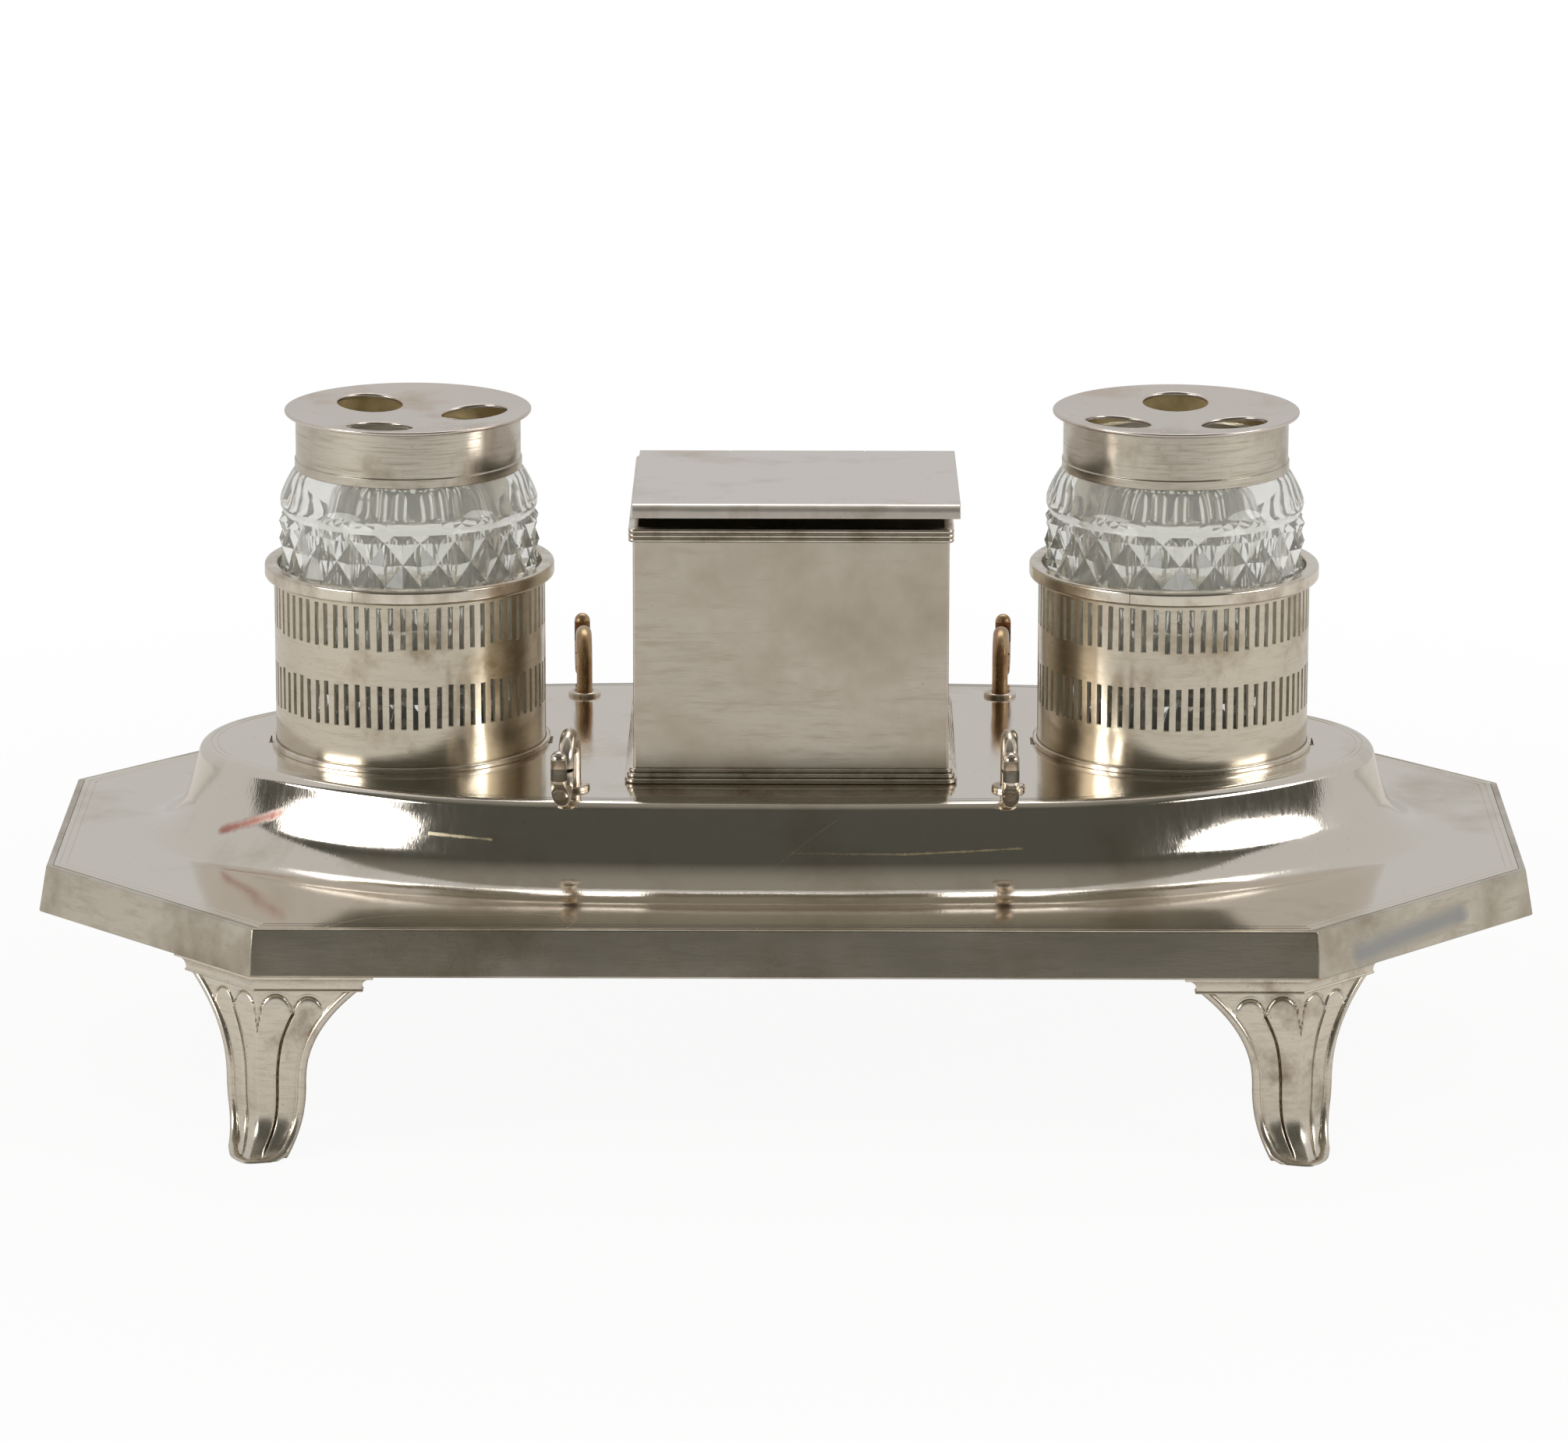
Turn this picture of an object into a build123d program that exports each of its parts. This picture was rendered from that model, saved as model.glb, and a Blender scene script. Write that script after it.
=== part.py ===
from build123d import *
import os
from math import acos, atan2, cos, degrees, pi, radians, sin, sqrt

# Desk inkstand: a plated tray on four fluted feet, with two pierced galleries that hold cut-glass wells,
# a hinged box between them and four wire pen rests. Millimetres, Z up, origin on the floor under the middle.

# ---- driving dimensions -------------------------------------------------------------------------------------

# tray: an octagon with a raised oval platform
rim_length = 300.0  # over the rim, left to right
rim_depth = 164.0  # over the rim, front to back
corner_reach = 45.2  # what each cut corner takes off the length
corner_rise = 47.2  # what it takes off the depth
tray_sheet = 1.2
platform_rise = 17.7  # platform above the border
end_border = 29.1  # from the rim to the platform's edge, at the ends
side_border = 30.6  # and at the front and the back
oval_end_radius = 30.0
oval_shoulder_radius = 98.3
oval_end_angle = 45.0  # the end arc turns this far each side of the long axis
wall_lean = 17.9  # the platform's wall leans out by this many degrees
platform_edge_radius = 2.2
cove_radius = 11.1
line_width = 0.3  # engraved lines on the platform and the border
line_depth = 0.15
platform_lines = (2.0, 3.2)  # how far inside the platform's edge they run
border_line = 2.5  # how far inside the rim it runs

# apron under the rim
apron_height = 9.5
apron_flare = 1.6  # the bottom edge stands out by this much
apron_wall = 1.4
tray_fit = 0.05  # round the tray sheet inside the apron
ledge_width = 3.0  # carries the tray sheet
flange_width = 7.5  # carries the feet
flange_sheet = 1.0

# feet: two fluted wings folded round the corner, with a toe turned out
foot_height = 38.1
foot_inset = 4.5  # wing faces inside the apron's bottom edge
foot_sheet = 2.0
foot_shift = -1.1  # the feet were soldered on a little to the left
foot_top_width = 20.7  # each wing below the cornice
foot_waist_width = 9.7
foot_waist_height = 14.0
foot_spread = 2.3  # power of the curve between the waist and the top
toe_radius = 9.0
toe_turn = 58.0
toe_reach = 3.4  # straight length past the bend
toe_width = 7.0
cornice_heights = (1.9, 1.9)  # steps under the apron, top one first
cornice_widths = (23.4, 22.0)
cornice_reaches = (1.5, 0.8)

# what stands on the platform sits a little to the right of the middle
fittings_shift = 1.0

# pierced galleries
gallery_inset = 42.4  # each gallery's centre inside the platform's end
gallery_radius = 27.8
gallery_sheet = 0.8
gallery_height = 35.2  # up to the rim moulding
slot_count = 72
slot_width = 1.1
slot_rows = ((9.1, 17.9), (25.4, 34.3))  # bottom and top of each row of piercings
gallery_rim_radius = 29.7
gallery_rim_height = 3.1
gallery_rim_round = 0.7
base_ring_radius = 28.7
base_ring_height = 1.2
tongue_width = 5.0  # fixing tongues, one each side, bent under the tray
tongue_sheet = 0.8
tongue_hook = 3.5
tongue_room = 0.5

# wells: heights are above the platform
well_room = 0.3  # round the glass inside the gallery
well_base_round = 2.0
well_band_top = 47.7
well_neck_groove = 1.1  # depth of the groove above the cut band
well_bulge_height = 51.4
well_shoulder_height = 58.0
well_shoulder_radius = 23.0
well_neck_radius = 22.0
well_neck_height = 5.6
well_bore_radius = 18.5
well_floor = 13.0
well_floor_round = 6.0

# caps
cap_collar_radius = 23.25
cap_collar_sheet = 0.9
cap_strip_height = 1.9
cap_strip_step = 0.25
cap_disc_radius = 25.2
cap_disc_sheet = 0.8
cap_disc_dish = 2.1
cap_rim_height = 70.1  # top of the cap's edge above the platform
cap_fit = 0.03
pen_hole_radius = 6.7
pen_hole_pitch_radius = 13.65
pen_hole_count = 3
pen_hole_turns = {"left": 8.0, "right": 88.0}

# box
box_width = 63.6
box_depth = 68.6
box_wall = 1.0
box_height = 52.6
box_floor_sheet = 1.0
rim_reed_count = 3
rim_reed_height = 0.94
rim_reed_reach = 0.9
rim_reed_round = 0.42
base_steps = ((1.1, 1.8, 0.45), (1.0, 1.35, 0.4), (0.9, 0.9, 0.6))  # height, reach and rounding, bottom first

# lid, hinged at the back
lid_width = 65.9
lid_shift = 1.0  # the worn hinge lets it sit to the right
lid_sheet = 0.7
lid_lip = 2.9  # depth of the turned-down front edge
lid_lip_room = 0.35  # in front of the rim moulding
lid_ajar = 3.6  # degrees, as it stands
lid_seat_room = 0.05
hinge_barrel_radius = 0.9
hinge_pin_radius = 0.5
hinge_fit = 0.03
hinge_gap = 0.2
centre_knuckle = 28.0
hinge_leaf_height = 2.6
hinge_leaf_sheet = 0.5

# pen rests: wire bent over and under in an S
rest_gap = 12.1  # each post out from the box's side
rest_inset = 12.4  # and in from the platform's long edge
rest_wire_radius = 1.65
rest_bend_radius = 5.1
rest_crest = 13.6  # top of the high bend above the platform
rest_tip_height = 12.8
rest_tail = 4.2  # below the tray sheet
rest_hole_room = 0.05
rest_turns = {"front_left": 6.0, "front_right": 0.0, "rear_left": 3.0, "rear_right": 3.0}
rest_collar_radius = 3.4
rest_collar_height = 0.9
rest_collar_round = 0.5
rest_nut_width = 6.0
rest_nut_height = 2.2

# ---- places worked out from them ----------------------------------------------------------------------------

rim_z = foot_height + apron_height
platform_z = rim_z + platform_rise
platform_length = rim_length - 2 * end_border
platform_depth = rim_depth - 2 * side_border
gallery_reach = platform_length / 2 - gallery_inset
gallery_x = {"left": fittings_shift - gallery_reach, "right": fittings_shift + gallery_reach}
gallery_bore = gallery_radius - gallery_sheet
well_radius = gallery_bore - well_room
corner_normal = Vector(corner_rise, corner_reach).normalized()
rest_reach = box_width / 2 + rest_gap
rest_rise = platform_depth / 2 - rest_inset
rest_posts = {
    f"{end}_{side}": (fittings_shift + sx * rest_reach, sy * rest_rise, sx, sy)
    for end, sy in (("front", -1), ("rear", 1))
    for side, sx in (("left", -1), ("right", 1))
}
os.makedirs("parts", exist_ok=True)


def keep(builder, name):
    """Label a finished piece and write it."""
    builder.part.label = name
    export_step(builder.part, f"parts/{name}.step")


def octagon_corners(grow):
    """Corners of the rim's octagon grown by a distance, counter-clockwise from the right end's back corner."""
    x = rim_length / 2 + grow
    y = rim_depth / 2 + grow
    reach = corner_normal.X * rim_length / 2 + corner_normal.Y * (rim_depth / 2 - corner_rise) + grow
    end_y = (reach - corner_normal.X * x) / corner_normal.Y
    side_x = (reach - corner_normal.Y * y) / corner_normal.X
    back = [(x, end_y), (side_x, y), (-side_x, y), (-x, end_y)]
    return back + [(-px, -py) for px, py in back]


def octagon(grow):
    """The rim's outline grown by a distance."""
    return Wire.make_polygon(octagon_corners(grow))


def oval_arcs():
    """Centre, radius, start angle and turn of the platform's arcs, counter-clockwise from the right end."""
    half_length = platform_length / 2
    half_depth = platform_depth / 2
    turn = radians(oval_end_angle)
    step = oval_shoulder_radius - oval_end_radius
    end = Vector(half_length - oval_end_radius, 0)
    shoulder = end - Vector(step * cos(turn), step * sin(turn))
    rise = shoulder.Y - half_depth + oval_shoulder_radius
    flank_radius = oval_shoulder_radius**2 - half_depth**2 - shoulder.length**2 + 2 * shoulder.Y * half_depth
    flank_radius /= 2 * rise
    flank = Vector(0, half_depth - flank_radius)
    meet = degrees(atan2(shoulder.Y - flank.Y, shoulder.X))
    near = [
        (end, oval_end_radius, 0, oval_end_angle),
        (shoulder, oval_shoulder_radius, oval_end_angle, meet - oval_end_angle),
        (flank, flank_radius, meet, 90 - meet),
    ]
    far = [(Vector(-c.X, c.Y), r, 180 - start - size, size) for c, r, start, size in reversed(near)]
    back = near + far
    return back + [(-c, r, start + 180, size) for c, r, start, size in back]


def oval(grow):
    """The platform's outline grown by a distance."""
    with BuildLine() as outline:
        for centre, radius, start, size in oval_arcs():
            CenterArc(centre, radius + grow, start, size)
    return outline.wire()


def flat_ring(height, outer, inner):
    """Flat band between two outlines at a height."""
    with BuildSketch(Plane.XY.offset(height)) as band:
        make_face(outer)
        make_face(inner, mode=Mode.SUBTRACT)
    return band.sketch


def upright(x, height):
    """Plane through a well's axis, its X to the right and its Y up, at a height above the platform."""
    return Plane(origin=(x, 0, platform_z + height), x_dir=(1, 0, 0), z_dir=(0, -1, 0))


# ---- tray top: border, cove and platform raised from one sheet ----------------------------------------------

wall_run = platform_rise * sin(radians(wall_lean)) / cos(radians(wall_lean))
cove_run = wall_run + cove_radius
platform_tail = 3 * platform_edge_radius

with BuildPart() as tray_top:
    with BuildLine(Plane.XY.offset(rim_z)) as platform_edge:
        for centre, radius, start, size in oval_arcs():
            CenterArc(centre, radius, start, size)
    with BuildSketch(Plane(origin=(platform_length / 2, 0, rim_z), x_dir=(1, 0, 0), z_dir=(0, -1, 0))):
        with BuildLine():
            FilletPolyline(
                (-platform_tail, platform_rise),
                (0, platform_rise),
                (wall_run, 0),
                (cove_run, 0),
                radius=[platform_edge_radius, cove_radius],
            )
            offset(amount=tray_sheet, side=Side.RIGHT)
        make_face()
    sweep(path=platform_edge.line)
    with BuildSketch(Plane.XY.offset(platform_z)):
        make_face(oval(-platform_tail))
    extrude(amount=-tray_sheet)
    extrude(flat_ring(rim_z, octagon(-apron_wall - tray_fit), oval(cove_run)), amount=-tray_sheet)
    for inset in platform_lines:
        line = flat_ring(platform_z, oval(-inset), oval(-inset - line_width))
        extrude(line, amount=-line_depth, mode=Mode.SUBTRACT)
    line = flat_ring(rim_z, octagon(-border_line), octagon(-border_line - line_width))
    extrude(line, amount=-line_depth, mode=Mode.SUBTRACT)
    with BuildSketch(Plane.XY.offset(platform_z)):
        for x, y, _, _ in rest_posts.values():
            with Locations((x, y)):
                Circle(rest_wire_radius + rest_hole_room)
        tongue_middle = base_ring_radius - tongue_sheet / 2
        for x in gallery_x.values():
            with Locations((x - tongue_middle, 0), (x + tongue_middle, 0)):
                Rectangle(tongue_sheet + 2 * tongue_room, tongue_width + 2 * tongue_room)
    extrude(amount=-2 * tray_sheet, mode=Mode.SUBTRACT)
keep(tray_top, "tray_top")

# ---- apron: eight mitred strips with a ledge for the sheet and a turned-in flange for the feet --------------

with BuildPart() as apron_band:
    for wall, mode in ((0, Mode.ADD), (-apron_wall, Mode.SUBTRACT)):
        with BuildSketch(Plane.XY.offset(foot_height)):
            make_face(octagon(apron_flare + wall))
        with BuildSketch(Plane.XY.offset(rim_z)):
            make_face(octagon(wall))
        loft(mode=mode)
    ledge = flat_ring(rim_z - tray_sheet, octagon(-apron_wall / 2), octagon(-apron_wall - ledge_width))
    extrude(ledge, amount=-flange_sheet)
    flange = flat_ring(foot_height, octagon(apron_flare - apron_wall / 2), octagon(apron_flare - flange_width))
    extrude(flange, amount=flange_sheet)
keep(apron_band, "apron_band")

# ---- feet: two wings folded round each long corner, cornice on top, toe turned out --------------------------

wing_top = foot_height - sum(cornice_heights)
fold_half = (180 - degrees(acos(corner_normal.Y))) / 2  # from a wing to the line through the fold
fold_sine = sin(radians(fold_half))
fold_cosine = cos(radians(fold_half))
toe_drop = toe_radius * sin(radians(toe_turn)) + toe_reach * cos(radians(toe_turn))


def wing_width(height):
    """Width of a wing: toe to waist as a quarter sine wave, waist to cornice as a power curve."""
    if height < foot_waist_height:
        share = sin(pi / 2 * height / foot_waist_height)
        return toe_width + (foot_waist_width - toe_width) * share
    share = (height - foot_waist_height) / (wing_top - foot_waist_height)
    return foot_waist_width + (foot_top_width - foot_waist_width) * share**foot_spread


def folded_strip(width, reach, depth):
    """Corners of the strip seen from above: fold at the origin, outside of the corner towards Y."""
    side = [
        (0, reach / fold_sine),
        (width * fold_sine + reach * fold_cosine, reach * fold_sine - width * fold_cosine),
        (width * fold_sine - depth * fold_cosine, -depth * fold_sine - width * fold_cosine),
        (0, -depth / fold_sine),
    ]
    return side + [(-x, y) for x, y in reversed(side[1:-1])]


foot_side_x, foot_side_y = octagon_corners(apron_flare - foot_inset)[1]
fold_way = (corner_normal + Vector(0, 1)).normalized()
for end, sy in (("front", -1), ("rear", 1)):
    for side, sx in (("left", -1), ("right", 1)):
        outward = Vector(sx * fold_way.X, sy * fold_way.Y)
        across = Vector(outward.Y, -outward.X)
        corner = (foot_shift + sx * foot_side_x, sy * foot_side_y, 0)
        with BuildPart() as foot:
            with BuildLine(Plane(origin=corner, x_dir=outward, z_dir=across)) as fold_line:
                shin = Line((0, wing_top), (0, toe_drop))
                bend = CenterArc((toe_radius, toe_drop), toe_radius, 180, toe_turn)
                PolarLine(bend @ 1, 2 * toe_reach, direction=bend % 1)
            with BuildSketch(Plane(origin=corner, x_dir=across, z_dir=(0, 0, 1)).offset(wing_top)):
                Polygon(*folded_strip(foot_top_width, 0, foot_sheet), align=None)
            sweep(path=fold_line.line)
            with BuildSketch(Plane(origin=corner, x_dir=across, z_dir=-outward)):
                with BuildLine():
                    heights = [wing_top * step / 10 for step in range(11)]
                    edge = [(wing_width(h) * fold_sine, h) for h in heights]
                    Spline(*edge)
                    Line(edge[-1], (-edge[-1][0], wing_top))
                    Spline(*[(-x, h) for x, h in reversed(edge)])
                    Line((-edge[0][0], 0), edge[0])
                make_face()
            extrude(amount=foot_top_width, both=True, mode=Mode.INTERSECT)
            top = foot_height
            for height, width, reach in zip(cornice_heights, cornice_widths, cornice_reaches):
                with BuildSketch(Plane(origin=corner, x_dir=across, z_dir=(0, 0, 1)).offset(top)):
                    Polygon(*folded_strip(width, reach, foot_sheet), align=None)
                extrude(amount=-height)
                top -= height
        keep(foot, f"foot_{end}_{side}")

# ---- galleries: pierced sleeve, moulded rim, base ring with fixing tongues ----------------------------------

with BuildPart() as sleeve:
    with BuildSketch():
        Circle(gallery_radius)
        Circle(gallery_bore, mode=Mode.SUBTRACT)
    extrude(amount=gallery_height)
    for low, high in slot_rows:
        with BuildSketch(Plane.XY.offset(low)):
            with PolarLocations(gallery_radius, slot_count):
                Rectangle(4 * gallery_sheet, slot_width)
        extrude(amount=high - low, mode=Mode.SUBTRACT)

with BuildPart() as gallery_rim:
    with BuildSketch(Plane.XZ):
        with Locations((gallery_bore, gallery_height)):
            Rectangle(gallery_rim_radius - gallery_bore, gallery_rim_height, align=Align.MIN)
        fillet(vertices().filter_by_position(Axis.X, gallery_bore, gallery_rim_radius), gallery_rim_round)
    revolve(axis=Axis.Z)

with BuildPart() as base_ring:
    with BuildSketch():
        Circle(base_ring_radius)
        Circle(gallery_radius + tray_fit, mode=Mode.SUBTRACT)
    extrude(amount=base_ring_height)
    with BuildSketch(Plane.XZ):
        inside = base_ring_radius - tongue_sheet
        hook = base_ring_radius - tongue_hook
        corners = [
            (base_ring_radius, base_ring_height),
            (base_ring_radius, -tray_sheet - tongue_sheet),
            (hook, -tray_sheet - tongue_sheet),
            (hook, -tray_sheet),
            (inside, -tray_sheet),
            (inside, base_ring_height),
        ]
        Polygon(*corners, align=None)
        mirror(about=Plane.YZ)
    extrude(amount=tongue_width / 2, both=True)

for side, x in gallery_x.items():
    for name, whole in (("sleeve", sleeve), ("rim", gallery_rim), ("base_ring", base_ring)):
        with BuildPart() as placed:
            with Locations((x, 0, platform_z)):
                add(whole.part)
        keep(placed, f"gallery_{name}_{side}")

# ---- wells: cut glass, lifting out of the galleries ---------------------------------------------------------

collar_bore = cap_collar_radius - cap_strip_step - cap_collar_sheet
neck_top = well_shoulder_height + well_neck_height
with BuildPart() as well:
    with BuildSketch(Plane.XZ):
        with BuildLine():
            foot_line = Polyline((0, 0), (well_radius - well_base_round, 0))
            base = JernArc(foot_line @ 1, (1, 0), well_base_round, 90)
            groove_height = well_band_top + well_neck_groove
            wall = Polyline(base @ 1, (well_radius, well_band_top), (well_radius - well_neck_groove, groove_height))
            bulge = Spline(
                wall @ 1,
                (well_radius - well_room, well_bulge_height),
                (well_shoulder_radius, well_shoulder_height),
                tangents=[(1, 2), (-1, 1)],
            )
            Polyline(
                bulge @ 1,
                (well_neck_radius, well_shoulder_height),
                (well_neck_radius, neck_top),
                (0, neck_top),
                (0, 0),
            )
        make_face()
    revolve(axis=Axis.Z)
    with BuildSketch(Plane.XZ):
        with Locations((0, well_floor)):
            Rectangle(well_bore_radius, neck_top - well_floor, align=Align.MIN)
        fillet(vertices().group_by(Axis.Y)[0].sort_by(Axis.X)[-1], well_floor_round)
    revolve(axis=Axis.Z, mode=Mode.SUBTRACT)

# ---- caps: a dished disc with three pen holes on a collar that drops over the neck --------------------------

dish_radius = (cap_disc_radius**2 + cap_disc_dish**2) / (2 * cap_disc_dish)


def disc_under(radius):
    """Height of the disc's underside above the platform."""
    middle = cap_rim_height - cap_disc_dish - cap_disc_sheet
    return middle + dish_radius - sqrt(dish_radius**2 - radius**2)


with BuildPart() as cap_collar:
    with BuildSketch(Plane.XZ):
        outer = collar_bore + cap_collar_sheet
        strip = well_shoulder_height + cap_strip_height
        corners = [
            (collar_bore, well_shoulder_height),
            (cap_collar_radius, well_shoulder_height),
            (cap_collar_radius, strip),
            (outer, strip),
            (outer, disc_under(outer) - cap_fit),
            (collar_bore, disc_under(collar_bore) - cap_fit),
        ]
        Polygon(*corners, align=None)
    revolve(axis=Axis.Z)

for side, x in gallery_x.items():
    with BuildPart() as placed:
        with Locations((x, 0, platform_z)):
            add(well.part)
    keep(placed, f"bottle_{side}")
    with BuildPart() as placed:
        with Locations((x, 0, platform_z)):
            add(cap_collar.part)
    keep(placed, f"cap_collar_{side}")
    with BuildPart() as cap_disc:
        with BuildSketch(upright(x, 0)):
            with BuildLine():
                middle = disc_under(0)
                half = cap_disc_radius / 2
                edge = disc_under(cap_disc_radius)
                under = ThreePointArc((0, middle), (half, disc_under(half)), (cap_disc_radius, edge))
                rim = Line(under @ 1, (cap_disc_radius, edge + cap_disc_sheet))
                above = (half, disc_under(half) + cap_disc_sheet)
                top = ThreePointArc(rim @ 1, above, (0, middle + cap_disc_sheet))
                Line(top @ 1, under @ 0)
            make_face()
        revolve(axis=Axis((x, 0, 0), (0, 0, 1)))
        with Locations((x, 0, platform_z + cap_rim_height)):
            with PolarLocations(pen_hole_pitch_radius, pen_hole_count, start_angle=pen_hole_turns[side]):
                Hole(pen_hole_radius, depth=2 * (cap_disc_dish + cap_disc_sheet))
    keep(cap_disc, f"cap_disc_{side}")

# ---- box: four walls on a stepped foot, a loose floor and a reeded rim --------------------------------------


def strip(height, thickness, reach, inside, edge_round):
    """One strip round the box between two distances from its walls, its outer edges rounded."""
    with BuildPart() as ring:
        with BuildSketch(Plane.XY.offset(platform_z + height)):
            with Locations((fittings_shift, 0)):
                Rectangle(box_width + 2 * reach, box_depth + 2 * reach)
                Rectangle(box_width + 2 * inside, box_depth + 2 * inside, mode=Mode.SUBTRACT)
        extrude(amount=thickness)
        outline = faces().sort_by(Axis.Z)[-1].outer_wire().edges()
        if edge_round < thickness / 2:
            outline += faces().sort_by(Axis.Z)[0].outer_wire().edges()
        fillet(outline, edge_round)
    return ring.part


with BuildPart() as box_base_moulding:
    low = 0
    for height, reach, edge_round in base_steps:
        add(strip(low, height, reach, tray_fit, edge_round))
        low += height
keep(box_base_moulding, "box_base_moulding")

body_top = box_height - rim_reed_count * rim_reed_height
with BuildPart() as box_body:
    with BuildSketch(Plane.XY.offset(platform_z)):
        with Locations((fittings_shift, 0)):
            Rectangle(box_width, box_depth)
            Rectangle(box_width - 2 * box_wall, box_depth - 2 * box_wall, mode=Mode.SUBTRACT)
    extrude(amount=body_top)
keep(box_body, "box_body")

with BuildPart() as box_floor:
    with BuildSketch(Plane.XY.offset(platform_z)):
        with Locations((fittings_shift, 0)):
            room = 2 * (box_wall + tray_fit)
            Rectangle(box_width - room, box_depth - room)
    extrude(amount=box_floor_sheet)
keep(box_floor, "box_floor")

with BuildPart() as box_rim_moulding:
    for reed in range(rim_reed_count):
        height = body_top + reed * rim_reed_height
        add(strip(height, rim_reed_height, rim_reed_reach, -box_wall, rim_reed_round))
keep(box_rim_moulding, "box_rim_moulding")

# ---- lid: a plate with a turned-down front edge, hinged on the back of the rim ------------------------------

lid_x = fittings_shift + lid_shift
lid_under = platform_z + box_height + lid_seat_room
lid_top = lid_under + lid_sheet
lid_front = -box_depth / 2 - rim_reed_reach - lid_lip_room - lid_sheet
hinge_y = box_depth / 2 + rim_reed_reach + hinge_gap + hinge_barrel_radius
hinge_z = lid_top - hinge_barrel_radius
hinge_line = Axis((0, hinge_y, hinge_z), (-1, 0, 0))
side_knuckle = (lid_width - centre_knuckle) / 2 - hinge_gap


with BuildPart() as lid_shut:
    with BuildSketch(Plane(origin=(lid_x - lid_width / 2, 0, 0), x_dir=(0, 1, 0), z_dir=(1, 0, 0))):
        with BuildLine():
            lip_bottom = lid_top - lid_lip
            FilletPolyline(
                (lid_front + lid_sheet, lip_bottom),
                (lid_front + lid_sheet, lid_under),
                (hinge_y, lid_under),
                radius=hinge_gap,
            )
            FilletPolyline(
                (lid_front + lid_sheet, lip_bottom),
                (lid_front, lip_bottom),
                (lid_front, lid_top),
                (hinge_y, lid_top),
                radius=[lid_sheet / 3, lid_sheet + hinge_gap],
            )
            Line((hinge_y, lid_top), (hinge_y, lid_under))
        make_face()
    extrude(amount=lid_width)
    with BuildSketch(Plane(origin=(lid_x - lid_width / 2, hinge_y, hinge_z), x_dir=(0, 1, 0), z_dir=(1, 0, 0))):
        Circle(hinge_barrel_radius + hinge_fit)
    extrude(amount=lid_width, mode=Mode.SUBTRACT)
    middle_gap = centre_knuckle / 2 + hinge_gap
    with BuildSketch(Plane(origin=(lid_x - middle_gap, hinge_y, hinge_z), x_dir=(0, 1, 0), z_dir=(1, 0, 0))):
        Circle(hinge_barrel_radius + hinge_gap)
    extrude(amount=2 * middle_gap, mode=Mode.SUBTRACT)

with BuildPart() as side_knuckles_shut:
    with BuildSketch(Plane(origin=(lid_x + middle_gap, hinge_y, hinge_z), x_dir=(0, 1, 0), z_dir=(1, 0, 0))):
        Circle(hinge_barrel_radius)
        Circle(hinge_pin_radius + hinge_fit, mode=Mode.SUBTRACT)
    extrude(amount=side_knuckle)
    mirror(about=Plane.YZ.offset(lid_x))

for shut, name in ((lid_shut, "box_lid"), (side_knuckles_shut, "lid_knuckles")):
    with BuildPart() as ajar:
        add(shut.part.rotate(hinge_line, lid_ajar))
    keep(ajar, name)

with BuildPart() as hinge_centre_knuckle:
    start = lid_x - centre_knuckle / 2
    with BuildSketch(Plane(origin=(start, 0, 0), x_dir=(0, 1, 0), z_dir=(1, 0, 0))):
        with Locations((hinge_y, hinge_z)):
            Circle(hinge_barrel_radius)
        with Locations((box_depth / 2 + rim_reed_reach, hinge_z)):
            Rectangle(hinge_leaf_sheet, hinge_leaf_height, align=(Align.MIN, Align.MAX))
        with Locations((hinge_y, hinge_z)):
            Circle(hinge_pin_radius + hinge_fit, mode=Mode.SUBTRACT)
    extrude(amount=centre_knuckle)
keep(hinge_centre_knuckle, "hinge_centre_knuckle")

with BuildPart() as hinge_pin:
    with BuildSketch(Plane(origin=(lid_x - lid_width / 2, hinge_y, hinge_z), x_dir=(0, 1, 0), z_dir=(1, 0, 0))):
        Circle(hinge_pin_radius)
    extrude(amount=lid_width)
keep(hinge_pin, "hinge_pin")

# ---- pen rests: bent wire through the tray, a collar above and a nut below ----------------------------------

bend_z = rest_crest - rest_wire_radius - rest_bend_radius
for name, (x, y, sx, sy) in rest_posts.items():
    turn = radians(rest_turns[name])
    outward = Vector(sx * sin(turn), sy * cos(turn))
    post = Plane(origin=(x, y, platform_z), x_dir=outward, z_dir=Vector(outward.Y, -outward.X))
    with BuildPart() as pen_rest:
        with BuildLine(post):
            stem = Line((0, -tray_sheet - rest_tail), (0, bend_z))
            over = CenterArc((rest_bend_radius, bend_z), rest_bend_radius, 180, -180)
            under = CenterArc((3 * rest_bend_radius, bend_z), rest_bend_radius, 180, 180)
            tip = Line(under @ 1, (4 * rest_bend_radius, rest_tip_height - rest_wire_radius))
        with BuildSketch(Plane(origin=stem @ 0, z_dir=(0, 0, 1))):
            Circle(rest_wire_radius)
        sweep()
        with Locations(Location(tip @ 1)):
            Sphere(rest_wire_radius)
    keep(pen_rest, f"pen_rest_{name}")

with BuildPart() as pen_rest_collars:
    with BuildSketch(Plane.XY.offset(platform_z)):
        for x, y, _, _ in rest_posts.values():
            with Locations((x, y)):
                Circle(rest_collar_radius)
                Circle(rest_wire_radius + hinge_fit, mode=Mode.SUBTRACT)
    extrude(amount=rest_collar_height)
    rims = faces().group_by(Axis.Z)[-1].edges().filter_by(lambda e: e.radius > rest_wire_radius * 1.5)
    fillet(rims, rest_collar_round)
keep(pen_rest_collars, "pen_rest_collars")

with BuildPart() as pen_rest_nuts:
    with BuildSketch(Plane.XY.offset(platform_z - tray_sheet)):
        for x, y, _, _ in rest_posts.values():
            with Locations((x, y)):
                RegularPolygon(rest_nut_width / 2, 6, major_radius=False)
                Circle(rest_wire_radius + hinge_fit, mode=Mode.SUBTRACT)
    extrude(amount=-rest_nut_height)
keep(pen_rest_nuts, "pen_rest_nuts")
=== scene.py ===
import math

import bmesh
import bpy
import numpy as np
from mathutils import Matrix, geometry


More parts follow.
